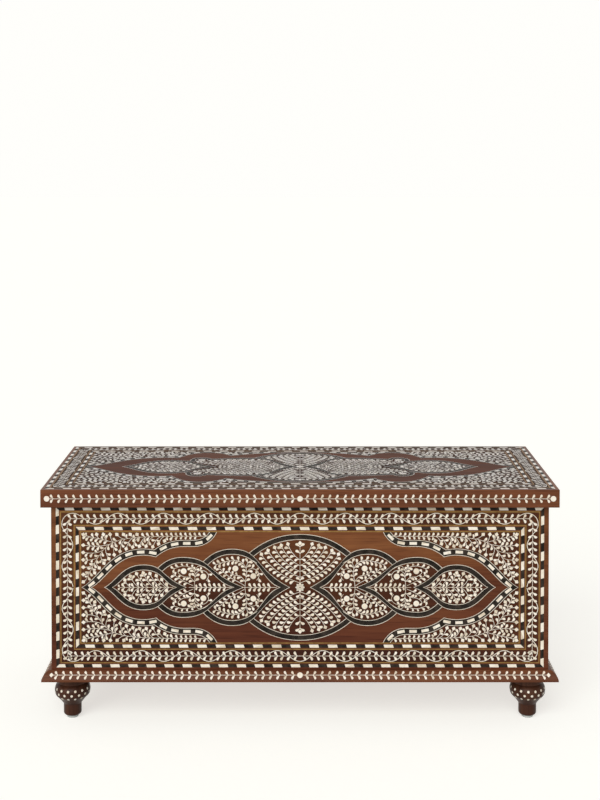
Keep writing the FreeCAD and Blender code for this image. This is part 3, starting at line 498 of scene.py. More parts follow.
def hollow_poles(inset):
    """Poles of a hollow side, from a ribbon's outer edge toward its inner edge as the inset grows."""
    share = inset / RIBBON_WIDTH
    poles = []
    for outer, inner in zip(HOLLOW_POLES, HOLLOW_INNER_POLES):
        poles.append([start + share * (end - start) for start, end in zip(outer, inner)])
    return poles


class Field:
    """One decorated face and its size inside the margins."""

    def __init__(self, faces, half_length, half_height):
        self.faces = faces
        self.half_length = half_length
        self.half_height = half_height
        self.length = half_length - BORDER_WIDTH
        self.height = half_height - BORDER_WIDTH

    def lobe(self, share, inset=0.0, hollow=False):
        """Half height of a lobe at a place along the middle line; its side to the middle may be hollow."""
        centre, left, right, height = share
        plain = (profile(LOBE_POLES), TIP_RATIO)
        inward = (profile(hollow_poles(inset)), HOLLOW_TIP_RATIO) if hollow and centre < 0 else plain

        def half_height(x):
            offset = x - centre * self.length
            width, (points, ratio) = (right, inward) if offset > 0 else (left, plain)
            reach = width * self.length - ratio * inset
            return (height * self.height - inset) * profile_height(points, abs(offset) / reach)

        return half_height

    def pieces(self, shapes):
        """Pieces of some shapes on each face that carries the drawing."""
        sets = [Pieces(face) for face in self.faces]
        for pieces in sets:
            pieces.add_shapes(shapes)
        return sets

    def ribbons(self, shares):
        """Outer and inner edges of the ribbons round some lobes."""
        return [[self.lobe(share, inset, True) for share in shares] for inset in (0.0, RIBBON_WIDTH)]

    def scaled(self, x, y):
        """Point of the drawing from shares of the field."""
        return x * self.length, y * self.height

    def highest(self, shares, inset=0.0):
        """Half height of the highest of some lobes at a place along the middle line."""
        lobes = [self.lobe(share, inset) for share in shares]
        return lambda x: max(lobe(x) for lobe in lobes)

    def corner(self, shares):
        """Region of the upper left corner above some lobes."""
        strip = self.highest(shares)
        return lambda x, y: -self.length < x < 0 and strip(x) < y < self.height


def between(lower, upper):
    """Region of the left half between two heights."""
    return lambda x, y: x < 0 and lower(x) < y < upper(x)


def flat(x):
    """The middle line of a drawing."""
    return 0.0


def below(x):
    """A height below the middle line, for a vine that grows across it."""
    return OPEN_AXIS


def above_lobe(lobe):
    """Lower edge that follows a lobe and is open where the lobe ends."""
    def lower(x):
        height = lobe(x)
        return height if height > 0 else OPEN_AXIS
    return lower


def straight(start, end):
    """Straight path in even steps."""
    return even_steps([start, end])


# Vines of the border bands, edges and fields

BAND_LEAF_PITCH = 14.4
BAND_WAVE = 12.2
BAND_WAVE_PERIOD = 100.0
BAND_CORNER = 24.4
WAVE_WIDTH = 1.4
BAND_LEAF = (11.8, 5.6)
BAND_LEAF_ANGLE = math.radians(44)
BAND_CORNER_STEP = 5
BAND_RUN_GAP = 4.0
BAND_FALL_DROP = 6.0
BAND_FALL_OVERRUN = 2.0
BAND_FALL_FIRST = 2.0
EDGE_LEAF = (10.8, 5.2)
EDGE_PITCH = 16.8
EDGE_DISC = 6.2
EDGE_FIRST = 0.75
EDGE_TAIL = 0.6
LIP_END_INSET = 14.0
MOULDING_END_INSET = 2.0


def leaf_pairs(path, pitch, size, angle, mirrors, start=0.0):
    """Stem along a straight path with pairs of leaves that point along it."""
    shapes = [(ribbon((path[0], path[-1]), STEM_WIDTH), STEM_RISE, mirrors)]
    every = pitch / STEP
    index = start / STEP
    while index < len(path) - 1:
        point = path[int(index)]
        heading = heading_at(path, int(index))
        for side in (LEFT, RIGHT):
            pairs = tapered(*point, heading + side * angle, *size, LEAF_SHAPE, LEAF_CURL * side)
            shapes.append((pairs, LEAF_RISE, mirrors))
        index += every
    return shapes


def band_shapes(field):
    """Vine band of a border: pairs of leaves, and a thin line that waves round them."""
    middle = BAND_START + BAND_WIDTH / 2
    x, y = field.half_length - middle, field.half_height - middle
    crest_x, crest_y = x + BAND_WAVE - BAND_CORNER, y + BAND_WAVE - BAND_CORNER

    def wave(place, crest):
        periods = round(2 * crest / BAND_WAVE_PERIOD)
        return BAND_WAVE * math.cos(math.pi * periods * (crest - place) / crest)

    top = [(-step, y + wave(step, crest_x)) for step in range(int(crest_x))]
    corner = []
    for degrees in range(0, 91, BAND_CORNER_STEP):
        turn = math.radians(degrees)
        corner.append((-crest_x - BAND_CORNER * math.sin(turn), crest_y + BAND_CORNER * math.cos(turn)))
    left = [(-x - wave(step, crest_y), step) for step in range(int(crest_y), -1, -1)]
    shapes = [(ribbon(thinned(even_steps(top + corner + left)), WAVE_WIDTH), STEM_RISE, QUARTERS)]
    run = straight((0.0, y), (-x + BAND_RUN_GAP, y))
    shapes += leaf_pairs(run, BAND_LEAF_PITCH, BAND_LEAF, BAND_LEAF_ANGLE, QUARTERS, BAND_LEAF_PITCH / 2)
    fall = straight((-x, y - BAND_FALL_DROP), (-x, -y - BAND_FALL_OVERRUN))
    shapes += leaf_pairs(fall, BAND_LEAF_PITCH, BAND_LEAF, BAND_LEAF_ANGLE, SIDES, BAND_FALL_FIRST)
    return shapes


def edge_shapes(half_length, end_inset, end_shape):
    """Straight vine of a lip or a moulding, from a disc in the middle to both ends."""
    end = -half_length + end_inset
    count = round((-end - EDGE_DISC) / EDGE_PITCH)
    pitch = -end / (count + EDGE_TAIL)
    run = straight((0.0, 0.0), (end, 0.0))
    shapes = leaf_pairs(run, pitch, EDGE_LEAF, BAND_LEAF_ANGLE, SIDES, pitch * EDGE_FIRST)
    shapes.append((disc(0.0, 0.0, EDGE_DISC), LEAF_RISE, ONCE))
    shapes.append((end_shape(end), LEAF_RISE, SIDES))
    return shapes


def end_disc(x):
    """Disc that ends the vine of a lip."""
    return disc(x, 0.0, EDGE_DISC)


def end_bud(x):
    """Bud that ends the vine of a moulding."""
    return bud(x, 0.0, math.pi / 2)


FAN_START = 10.0
FAN_FIRST = 26.0
FAN_PITCH = 14.75
FAN_CORNER = 34.0
FAN_LEAF_PITCH = 10.4
FAN_STEM_SHARE = 0.62
FAN_STEM_FIRST = 4
FAN_LEAD = (0.50, 0.22)
FAN_TRAIL = (0.86, 0.66)
BUD_GAP = 7.5
GROUND_HALVINGS = 4
LID_FAN_LEAF = (13.2, 7.0)
LID_FAN_PITCH = 9.6
LID_FAN_FIRST = 16.0
LID_CORNER_SCALE = 1.2
ROSETTE_RADIUS = 10.5
CURL_ROSETTE_RADIUS = 10.0


def fan(lower, arch, leaf=FAN_LEAF, pitch=FAN_LEAF_PITCH, first=FAN_FIRST):
    """Upright stem with branches that sweep out to buds below an arch."""
    vine = Vine(between(lower, arch), leaf, pitch)
    vine.mark(0.0, 0.0, ROSETTE_RADIUS, None)
    top = arch(0.0) - BUD_GAP
    stem = vine.add_stem(straight((0.0, FAN_START), (0.0, top)), RISES, (LEFT,))
    vine.add_bud(0.0, top, math.pi / 2, RISES)
    widest = first
    while arch(-widest) - lower(-widest) > FAN_CORNER:
        widest += STEP
    count = int((widest - first) / FAN_PITCH) + 1
    branches = []
    for index in range(count):
        reach = widest - index * FAN_PITCH
        end = (-reach, arch(-reach) - BUD_GAP)
        start = (0.0, FAN_START + index * (FAN_STEM_SHARE * top - FAN_START) / max(count - 1, 1))
        rise = end[1] - start[1]
        lead = (-FAN_LEAD[0] * reach, start[1] + FAN_LEAD[1] * rise)
        trail = (-FAN_TRAIL[0] * reach, start[1] + FAN_TRAIL[1] * rise)
        path = curve(start, lead, trail, end)
        branches.append(vine.add_stem(path, QUARTERS, (LEFT,)))
        vine.add_bud(*end, heading_at(path, len(path) - 1))
    vine.leaf_out(stem, BAND_LEAF_PITCH, FAN_STEM_FIRST)
    for owner in branches:
        vine.leaf_out(owner)
    return vine


def axis_tree(lower, arch, start, end, last):
    """Tree that lies along the middle line, drawn above it and mirrored below, with buds below an arch."""
    places = [start + step for step in range(-TREE_LEAD, int(last - start), -1)]
    roomy = [x for x in places if arch(x) - max(lower(x), 0.0) > 2 * STRIP_INSET]
    ends = spaced([(x, arch(x) - STRIP_INSET) for x in roomy], TREE_PITCH)
    vine = Vine(between(lower, arch))
    stem = vine.add_stem(straight((start, 0.0), (end, 0.0)), SIDES, (RIGHT,))
    vine.add_offshoots((stem,), ends)
    return vine.leaf_all()


def flower_vine(inside, start, end, flowers, stems):
    """Vine along the middle line with side stems that curl round flowers."""
    vine = Vine(inside)
    for x, y in flowers:
        vine.add_flower(x, y)
    vine.add_stem(straight((start, 0.0), (end, 0.0)), SIDES, (RIGHT,))
    for points in stems:
        vine.add_stem(spline(*points))
    return vine.leaf_all()


def corner_vine(field, inside, shares, right, stems, scale=1.0):
    """Vine that fills a corner of a field: main stems, and branches to the border and the strip."""
    vine = Vine(inside, [scale * size for size in LEAF], scale * LEAF_PITCH)
    owners = [vine.add_stem(spline(*points)) for points in stems]
    strip = field.highest(shares, -STRIP_INSET)
    left, top = BUD_INSET - field.length, field.height - BUD_INSET
    vine.add_offshoots(owners[:1], spaced([(left, top - ROW_START), (left, BUD_INSET)], scale * ROW_PITCH))
    vine.add_offshoots(owners, spaced([(left, top), (right, top)], scale * TOP_PITCH))
    places = range(int(right + STRIP_LEAD), int(left), -1)
    edge = [(x, strip(x)) for x in places if strip(x) > 2 * BUD_INSET]
    vine.add_offshoots(owners, spaced(edge, scale * STRIP_PITCH))
    return vine.leaf_all()


def column(inside, x, top):
    """Lowest and highest height of a region at a place along the middle line, if it has any."""
    heights = [y for y in range(int(top) + 1) if inside(x, y)]
    if not heights:
        return None
    low, high = heights[0], heights[-1]
    for halving in range(1, GROUND_HALVINGS + 1):
        span = 0.5 ** halving
        low -= span if inside(x, low - span) else 0.0
        high += span if inside(x, high + span) else 0.0
    return max(low, 0.0), high


def shaded_ground_shapes(field, vines):
    """Darker ground under the vines of a face and in its vine band; part of its darkness is painted shade
    between the leaves.
    """
    shapes = []
    for vine in vines:
        strip = []
        for step in range(int(-field.length) + 1, 1):
            x = step - HALF_COLUMN
            span = column(vine.inside, x, field.height)
            if span:
                strip.append([(x, span[HIGH]), (x, span[LOW])])
            elif len(strip) > 1:
                shapes.append((strip, GROUND_RISE, QUARTERS))
                strip = []
        if len(strip) > 1:
            shapes.append((strip, GROUND_RISE, QUARTERS))
    outer_x, outer_y = field.half_length - BAND_START, field.half_height - BAND_START
    inner_x, inner_y = outer_x - BAND_WIDTH, outer_y - BAND_WIDTH
    top = [[(x, outer_y), (x, inner_y)] for x in (-outer_x, outer_x)]
    side = [[(x, inner_y), (x, -inner_y)] for x in (-outer_x, -inner_x)]
    return shapes + [(top, GROUND_RISE, RISES), (side, GROUND_RISE, SIDES)]


# Places along the middle line, flowers and stems, all in the upper left quarter of a drawing
FRONT_TREE = (-283, -402, -402)
FRONT_OUTER_STEM = (-152, -248)
FRONT_OUTER_FLOWERS = ((-259.6, 36.4), (-215.8, 24.5))
FRONT_OUTER_TWIGS = (
    ((-236, 0), (-235, 16), (-234, 30), (-239, 42), (-250, 47), (-265, 47.5), (-283, 41)),
    ((-235, 12), (-246, 22), (-261, 24.5), (-272, 33), (-270, 42)),
    ((-234, 30), (-224, 38), (-211, 36), (-204, 26), (-209, 15)),
    ((-235, 36), (-228, 47), (-216, 47), (-205, 40)),
    ((-239, 4), (-252, 10), (-266, 18), (-284, 31)),
)
FRONT_INNER_STEM = (-52, -131)
FRONT_INNER_FLOWERS = ((-144.2, 42.4), (-104.3, 25.4))
FRONT_INNER_TWIGS = (
    ((-123, 0), (-121, 18), (-119, 34), (-124, 50), (-139, 60), (-153, 60), (-168, 57), (-188, 51)),
    ((-121, 12), (-133, 25), (-148, 28), (-160, 38), (-157, 47)),
    ((-119, 34), (-110, 42), (-97, 39), (-91, 27), (-97, 15)),
    ((-120, 42), (-116, 56), (-106, 60), (-96, 54)),
    ((-124, 4), (-137, 12), (-152, 20), (-168, 32), (-179, 42)),
)
FRONT_CORNER_END = -352
FRONT_CORNER_STEMS = (
    ((-196, 116), (-215, 115), (-313, 114.5), (-369, 111.5), (-406, 105),
     (-433, 90), (-454, 62), (-466, 40), (-479, 14)),
    ((-416, 101), (-446, 109), (-474, 114)),
)
LID_INNER_TREE = (-36, -194, -262)
LID_OUTER_TREE = (-226, -400, -400)
LID_CORNER_END = -300
LID_CORNER_STEMS = (
    ((-262, 156), (-340, 140), (-420, 118), (-478, 62), (-500, 16)),
    ((-400, 125), (-450, 140), (-492, 150)),
)
LID_SPRIGS = (
    ((-170, 138), (-162, 149), (-140, 155), (-112, 158)),
    ((-170, 138), (-177, 149), (-192, 157)),
)
END_CORNER_END = -70
END_CORNER_STEMS = (((-52, 119), (-110, 106), (-134, 62), (-142, 18)),)


def front_vines(field):
    """Vines of the front."""
    outer, inner = field.ribbons(FRONT_LOBES)
    strip = field.highest(FRONT_STRIP_LOBES)
    nose_x = FRONT_NOSE * field.length
    shoulder_x, shoulder = field.scaled(FRONT_STRIP_LOBES[1][0], FRONT_STRIP_LOBES[1][3])

    def in_corner(x, y):
        if not (-field.length < x < 0 and y < field.height):
            return False
        if x > nose_x:
            return math.hypot(x - nose_x, y - shoulder - NOSE_RADIUS) < NOSE_RADIUS
        return y > (shoulder if x > shoulder_x else strip(x))

    trees = [fan(outer[2], inner[3]), axis_tree(below, inner[0], *FRONT_TREE)]
    outer_flowers = flower_vine(
        between(above_lobe(outer[0]), inner[1]), *FRONT_OUTER_STEM, FRONT_OUTER_FLOWERS, FRONT_OUTER_TWIGS,
    )
    inner_flowers = flower_vine(
        between(above_lobe(outer[1]), inner[2]), *FRONT_INNER_STEM, FRONT_INNER_FLOWERS, FRONT_INNER_TWIGS,
    )
    corner = corner_vine(field, in_corner, FRONT_STRIP_LOBES, FRONT_CORNER_END, FRONT_CORNER_STEMS)
    return trees + [outer_flowers, inner_flowers, corner]


def lid_vines(field):
    """Vines of the lid's top."""
    outer, inner = field.ribbons(LID_LOBES)
    curl = field.scaled(*LID_CURL)

    def in_curl(x, y):
        return y > inner[1](x) and math.dist((x, y), curl) < CURL_RADIUS - RIBBON_WIDTH

    trees = [
        fan(outer[1], inner[2], LID_FAN_LEAF, LID_FAN_PITCH, LID_FAN_FIRST),
        axis_tree(above_lobe(outer[0]), inner[1], *LID_INNER_TREE),
        axis_tree(below, inner[0], *LID_OUTER_TREE),
    ]
    sprig = Vine(in_curl)
    sprig.shapes += rosette(*curl, CURL_ROSETTE_RADIUS, QUARTERS)
    in_corner = field.corner(LID_STRIP_LOBES)
    corner = corner_vine(
        field, in_corner, LID_STRIP_LOBES, LID_CORNER_END, LID_CORNER_STEMS, LID_CORNER_SCALE,
    )
    for points in LID_SPRIGS:
        corner.leaf_out(corner.add_stem(spline(*points)))
    return trees + [sprig, corner]


def end_vines(field):
    """Vines of an end."""
    inner = field.lobe(END_LOBES[0], RIBBON_WIDTH)
    in_corner = field.corner(END_STRIP_LOBES)
    corner = corner_vine(field, in_corner, END_STRIP_LOBES, END_CORNER_END, END_CORNER_STEMS)
    return [fan(flat, inner), corner]


def make_edge_vines(name, body, face_kind, height, half_length, front, end_inset, end_shape):
    """Straight vines along the front and both ends of the lid or of the moulding."""
    middle = (front + BACK) / 2
    places = [((0, front, height), (1, 0, 0), half_length)]
    for side in (-1, 1):
        places.append(((side * half_length, middle, height), (0, side, 0), BACK - middle))
    sets = []
    for origin, right, reach in places:
        pieces = Pieces(face_kind(origin, right, (0, 0, 1)))
        pieces.add_shapes(edge_shapes(reach, end_inset, end_shape))
        sets.append(pieces)
    make_object(name, sets, body, "bone")


def make_vines():
    """All leafy inlay, one object for each face or set of edges."""
    right, up, back = (1, 0, 0), (0, 0, 1), (0, 1, 0)
    front_face = Face((0, FRONT, FIELD_MIDDLE), right, up)
    lid_face = Face((0, LID_MIDDLE, LID_TOP), right, back)
    field_height = (LIP_BOTTOM - MOULDING_TOP) / 2 - TOP_MARGIN
    front = Field((front_face,), HALF_BODY - SIDE_MARGIN, field_height)
    lid = Field((lid_face,), HALF_LID - LID_MARGIN, BACK - LID_MIDDLE - LID_MARGIN)
    end_faces = [Face((side * HALF_BODY, END_MIDDLE, FIELD_MIDDLE), (0, side, 0), up) for side in (-1, 1)]
    end = Field(end_faces, BACK - END_MIDDLE - SIDE_MARGIN, field_height)
    for name, field, draw, body, ground, leaves in (
        ("front", front, front_vines, "carcass", "ground_x", "bone"),
        ("lid", lid, lid_vines, "lid", "lid_ground", "lid_bone"),
        ("end", end, end_vines, "carcass", "ground_y", "bone"),
    ):
        vines = draw(field)
        shapes = band_shapes(field) + rosette(0.0, 0.0, ROSETTE_RADIUS, ONCE)
        for vine in vines:
            shapes += vine.shapes
        # Ground sheets darken the vine fields, partly as painted shade between the leaves
        make_object(name + "_ground", field.pieces(shaded_ground_shapes(field, vines)), body, ground)
        make_object(name + "_vines", field.pieces(shapes), body, leaves)
    make_edge_vines("lip_vines", "lid", Face, LIP_MIDDLE, HALF_LID, LID_FRONT, LIP_END_INSET, end_disc)
    make_edge_vines(
        "moulding_vines", "carcass", MouldingFace, MOULDING_BOTTOM, HALF_BODY, FRONT,
        MOULDING_END_INSET, end_bud,
    )


# Materials

# Woods: dark, middle and light tone
ROSEWOOD = ((0.085, 0.023, 0.009), (0.146, 0.048, 0.017), (0.215, 0.080, 0.028))
# Ground under the vines: darker and redder than the plain wood, partly painted shade between the leaves
SHADED_GROUND_WOOD = ((0.043, 0.011, 0.004), (0.074, 0.022, 0.007), (0.108, 0.037, 0.012))
LID_WOOD = ((0.064, 0.022, 0.013), (0.108, 0.038, 0.022), (0.163, 0.060, 0.033))
# Lid ground: likewise partly painted shade between the leaves
SHADED_LID_GROUND = ((0.027, 0.010, 0.007), (0.046, 0.018, 0.011), (0.072, 0.029, 0.018))
EDGE_WOOD = ((0.092, 0.029, 0.013), (0.150, 0.050, 0.021), (0.200, 0.074, 0.030))
MOULDING_WOOD = ((0.074, 0.023, 0.011), (0.122, 0.040, 0.017), (0.164, 0.060, 0.025))
# Feet: much darker than the body's wood; this darkness is painted shade from the chest above them
SHADED_FOOT_WOOD = ((0.027, 0.010, 0.006), (0.050, 0.018, 0.010), (0.078, 0.030, 0.015))
INNER_WOOD = ((0.21, 0.115, 0.055), (0.31, 0.18, 0.09), (0.40, 0.25, 0.135))

# Tint at the foot of the body, and the heights between which it fades, in metres
FADE_LOW = (0.66, 0.55, 0.70)
FADE_HEIGHTS = (0.12, 0.46)

# Roughness and sheen of the woods, and what their grain is made of
PANEL_ROUGHNESS = 0.36
GROUND_ROUGHNESS = 0.40
EDGE_ROUGHNESS = 0.38
FOOT_ROUGHNESS = 0.34
INNER_ROUGHNESS = 0.55
SHINY_STREAK = 0.06
DULL_STREAK = 0.10
WOOD_SHEEN = 0.12
LID_SHEEN = 0.01
FIGURE_SHARE = 0.62
STREAK_SHARE = 0.38
WAVER = 0.5

# Bone: dull, plain and pale pieces. The lid's bone is paler and greyer than the rest: a painted sheen of
# reflections on the lid top
BONE = ((0.66, 0.57, 0.45), (0.81, 0.73, 0.61), (0.89, 0.83, 0.74))
LID_BONE_PAINTED_SHEEN = ((0.74, 0.69, 0.62), (0.89, 0.86, 0.81), (0.95, 0.94, 0.92))

# Metals: tarnished and bright colour, lowest and highest roughness
INLAY_LINE = ((0.16, 0.092, 0.030), (0.28, 0.168, 0.058), 0.42, 0.57)
AGED_BRASS = ((0.30, 0.19, 0.07), (0.56, 0.39, 0.15), 0.26, 0.44)
ZINC_STEEL = ((0.36, 0.37, 0.38), (0.58, 0.59, 0.60), 0.30, 0.45)

EBONY_DARK, EBONY_BROWN = (0.014, 0.012, 0.010), (0.048, 0.037, 0.030)
GLIDE_DARK, GLIDE_LIGHT = (0.42, 0.44, 0.43), (0.56, 0.58, 0.56)
WHITE = (1.0, 1.0, 1.0)

# Range that noise mostly keeps to, and the sockets of a colour mix
NOISE_LOW, NOISE_HIGH = 0.25, 0.75
MIX_SHARE, MIX_COLOUR, MIX_TINT, MIX_RESULT = 0, 6, 7, 2


def set_sockets(node, **values):
    """Constant values on a node's own sockets."""
    for name, value in values.items():
        node.inputs[name.replace("_", " ")].default_value = value


def add_node(tree, kind, **values):
    """New node with constant values on its sockets."""
    node = tree.nodes.new(kind)
    set_sockets(node, **values)
    return node


class Nodes:
    """Shorthand for building one material's nodes."""

    def __init__(self, name):
        self.material = bpy.data.materials.new(name)
        self.material.use_nodes = True
        self.tree = self.material.node_tree
        self.shader = self.tree.nodes["Principled BSDF"]
        self.coordinates = self.tree.nodes.new("ShaderNodeTexCoord").outputs["Object"]

    def set(self, **values):
        """Constant values on the shader's own sockets."""
        set_sockets(self.shader, **values)

    def link(self, output, target):
        """Join an output to the shader's socket of a name, or to a socket."""
        socket = self.shader.inputs[target] if isinstance(target, str) else target
        self.tree.links.new(output, socket)

    def noise(self, scale, stretch=(1, 1, 1), detail=3.0, rough=0.55, warp=0.0):
        """Noise value, stretched along the axes."""
        mapping = add_node(self.tree, "ShaderNodeMapping", Scale=stretch)
        self.link(self.coordinates, mapping.inputs["Vector"])
        noise = add_node(
            self.tree, "ShaderNodeTexNoise", Scale=scale, Detail=detail, Roughness=rough, Distortion=warp,
        )
        self.link(mapping.outputs["Vector"], noise.inputs["Vector"])
        return noise.outputs["Fac"]

    def ramp(self, value, *stops):
        """Colours at places along a value."""
        ramp = self.tree.nodes.new("ShaderNodeValToRGB")
        elements = ramp.color_ramp.elements
        while len(elements) < len(stops):
            elements.new(0.5)
        for element, (place, colour) in zip(elements, stops):
            element.position = place
            element.color = (*colour, 1.0)
        self.link(value, ramp.inputs["Fac"])
        return ramp.outputs["Color"]

    def math(self, operation, one, two):
        """Sum, product or other mix of two values; the second may be a number."""
        node = self.tree.nodes.new("ShaderNodeMath")
        node.operation = operation
        self.link(one, node.inputs[0])
        if isinstance(two, (int, float)):
            node.inputs[1].default_value = two
        else:
            self.link(two, node.inputs[1])
        return node.outputs["Value"]

    def tinted(self, share, colour, tint):
        """A colour multiplied by a tint, by a share of it."""
        mix = self.tree.nodes.new("ShaderNodeMix")
        mix.data_type = "RGBA"
        mix.blend_type = "MULTIPLY"
        mix.inputs[MIX_SHARE].default_value = share
        self.link(colour, mix.inputs[MIX_COLOUR])
        self.link(tint, mix.inputs[MIX_TINT])
        return mix.outputs[MIX_RESULT]

    def ranged(self, value, start, end, low=0.0, high=1.0):
        """A value brought from one range to another."""
        node = add_node(
            self.tree, "ShaderNodeMapRange", From_Min=start, From_Max=end, To_Min=low, To_Max=high,
        )
        self.link(value, node.inputs["Value"])
        return node.outputs["Result"]

    def spread(self, value, low, high):
        """A noise value brought to a range."""
        return self.ranged(value, NOISE_LOW, NOISE_HIGH, low, high)

    def height(self, low, high):
        """Share of the way up between two heights, with a noisy waver."""
        parts = self.tree.nodes.new("ShaderNodeSeparateXYZ")
        self.link(self.coordinates, parts.inputs["Vector"])
        share = self.ranged(parts.outputs["Z"], low, high)
        waver = self.math("MULTIPLY", self.noise(3.0, (1.0, 1.0, 2.0)), WAVER)
        return self.math("ADD", share, self.math("SUBTRACT", waver, WAVER / 2))

    def bump(self, height, strength, distance):
        """Fine relief on the surface."""
        node = add_node(self.tree, "ShaderNodeBump", Strength=strength, Distance=distance)
        self.link(height, node.inputs["Height"])
        self.link(node.outputs["Normal"], "Normal")


def along(axis, lengthwise, across):
    """Stretch of a texture whose streaks run along an axis."""
    return tuple(lengthwise if name == axis else across for name in "xyz")


def wood(name, axis, dark, middle, light, roughness, fade=None, sheen=WOOD_SHEEN):
    """Polished wood with long figure, fine streaks and pores along an axis; it may darken downward."""
    nodes = Nodes(name)
    figure = nodes.noise(7.0, along(axis, 0.22, 1.5), detail=4.0, rough=0.55, warp=1.2)
    streaks = nodes.noise(60.0, along(axis, 0.05, 1.6), detail=5.0, rough=0.62, warp=0.4)
    pores = nodes.noise(420.0, along(axis, 0.035, 1.0), detail=2.0, rough=0.5)
    broad = nodes.math("MULTIPLY", figure, FIGURE_SHARE)
    fine = nodes.math("MULTIPLY", streaks, STREAK_SHARE)
    tone = nodes.math("ADD", broad, fine)
    colour = nodes.ramp(tone, (0.34, dark), (0.50, middle), (0.66, light))
    grain = nodes.ramp(pores, (0.30, (0.55, 0.5, 0.48)), (0.46, WHITE))
    colour = nodes.tinted(0.8, colour, grain)
    if fade:
        shade = nodes.ramp(nodes.height(*fade), (0.2, FADE_LOW), (0.8, WHITE))
        colour = nodes.tinted(1.0, colour, shade)
    nodes.link(colour, "Base Color")
    limits = (roughness - SHINY_STREAK, roughness + DULL_STREAK)
    nodes.link(nodes.spread(streaks, *limits), "Roughness")
    nodes.bump(pores, strength=0.12, distance=0.0004)
    nodes.set(Specular_IOR_Level=sheen)
    return nodes.material


def bone(name, dull, plain, pale):
    """Polished bone whose pieces differ a little in tone."""
    nodes = Nodes(name)
    geometry = nodes.tree.nodes.new("ShaderNodeNewGeometry")
    piece = nodes.ramp(geometry.outputs["Random Per Island"], (0.0, dull), (0.25, plain), (1.0, pale))
    clouds = nodes.ramp(nodes.noise(160.0, detail=4.0), (0.3, (0.88, 0.86, 0.82)), (0.6, WHITE))
    nodes.link(nodes.tinted(1.0, piece, clouds), "Base Color")
    nodes.link(nodes.spread(nodes.noise(300.0), 0.30, 0.46), "Roughness")
    nodes.set(Specular_IOR_Level=0.06)
    return nodes.material


def ebony():
    """Dark wood with faint brown streaks."""
    nodes = Nodes("ebony")
    streaks = nodes.noise(220.0, (0.4, 0.4, 0.4), detail=4.0)
    nodes.link(nodes.ramp(streaks, (0.35, EBONY_DARK), (0.7, EBONY_BROWN)), "Base Color")
    nodes.link(nodes.spread(streaks, 0.34, 0.50), "Roughness")
    nodes.bump(streaks, strength=0.06, distance=0.0003)
    nodes.set(Specular_IOR_Level=0.03)
    return nodes.material


def metal(name, dark, light, low, high):
    """Worn metal with cloudy tarnish."""
    nodes = Nodes(name)
    clouds = nodes.noise(90.0, detail=6.0, rough=0.6)
    nodes.link(nodes.ramp(clouds, (0.32, dark), (0.62, light)), "Base Color")
    nodes.link(nodes.spread(clouds, high, low), "Roughness")
    nodes.bump(nodes.noise(900.0), strength=0.04, distance=0.0002)
    nodes.set(Metallic=1.0)
    return nodes.material


def glide_plastic():
    """Pale grey plastic of the glides."""
    nodes = Nodes("glide_plastic")
    clouds = nodes.noise(120.0)
    nodes.link(nodes.ramp(clouds, (0.3, GLIDE_DARK), (0.7, GLIDE_LIGHT)), "Base Color")
    nodes.link(nodes.spread(clouds, 0.3, 0.42), "Roughness")
    return nodes.material


# Woods whose boards run along several axes: finish, name, axes, tones, roughness and fade
BOARDS = (
    ("wood", "rosewood", "xy", ROSEWOOD, PANEL_ROUGHNESS, FADE_HEIGHTS),
    # Ground wood: darker, partly painted shade between the leaves
    ("ground", "shaded_ground_wood", "xy", SHADED_GROUND_WOOD, GROUND_ROUGHNESS, FADE_HEIGHTS),
    ("edge", "edge_wood", "xy", EDGE_WOOD, EDGE_ROUGHNESS, None),
    ("moulding", "moulding_wood", "xy", MOULDING_WOOD, EDGE_ROUGHNESS, None),
    ("inner", "inner_wood", "xyz", INNER_WOOD, INNER_ROUGHNESS, None),
)
MATERIALS = {
    "lid_wood": wood("lid_wood", "x", *LID_WOOD, PANEL_ROUGHNESS, sheen=LID_SHEEN),
    "lid_ground": wood("lid_ground", "x", *SHADED_LID_GROUND, GROUND_ROUGHNESS, sheen=LID_SHEEN),
    # The feet's wood is darkened with painted shade from the chest above
    "wood_z": wood("shaded_foot_wood", "z", *SHADED_FOOT_WOOD, FOOT_ROUGHNESS),
    "bone": bone("bone", *BONE),
    # Lid bone: painted sheen, paler and greyer than the other bone
    "lid_bone": bone("lid_bone", *LID_BONE_PAINTED_SHEEN),
    "ebony": ebony(),
    "line": metal("inlay_line", *INLAY_LINE),
    "brass": metal("aged_brass", *AGED_BRASS),
    "steel": metal("zinc_steel", *ZINC_STEEL),
    "glide": glide_plastic(),
}
for finish, name, axes, tones, roughness, fade in BOARDS:
    for axis in axes:
        MATERIALS[finish + "_" + axis] = wood(name + "_" + axis, axis, *tones, roughness, fade)

# Finish of each CAD node, by the words in its name; the first that fits counts
FINISHES = (
    ("lid_bone_inlay", "lid_bone"), ("bone_inlay", "bone"), ("foot_dots", "bone"),
    ("ebony_inlay", "ebony"), ("brass_lines", "line"),
    ("foot_glides", "glide"), ("foot_studs", "steel"), ("glide_nails", "steel"),
    ("foot_block", "inner_x"), ("corner_post", "inner_z"), ("foot_", "wood_z"),
    ("lid_batten", "inner_y"), ("cleat_left", "inner_y"), ("cleat_right", "inner_y"),
    ("cleat", "inner_x"), ("bottom_board", "inner_x"),
    ("moulding_front", "moulding_x"), ("moulding", "moulding_y"),
    ("lip_front", "edge_x"), ("lip", "edge_y"),
    ("lid_panel", "lid_wood"), ("end_panel", "wood_y"), ("panel", "wood_x"),
)


def finish_of(node):
    """Name of the finish for a CAD node; what is left is brass."""
    for words, finish in FINISHES:
        if words in node:
            return finish
    return "brass"


def dress_nodes():
    """Give every CAD node its finish."""
    for name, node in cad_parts.items():
        node.data.materials.clear()
        node.data.materials.append(MATERIALS[finish_of(name)])


# Floor, light and camera

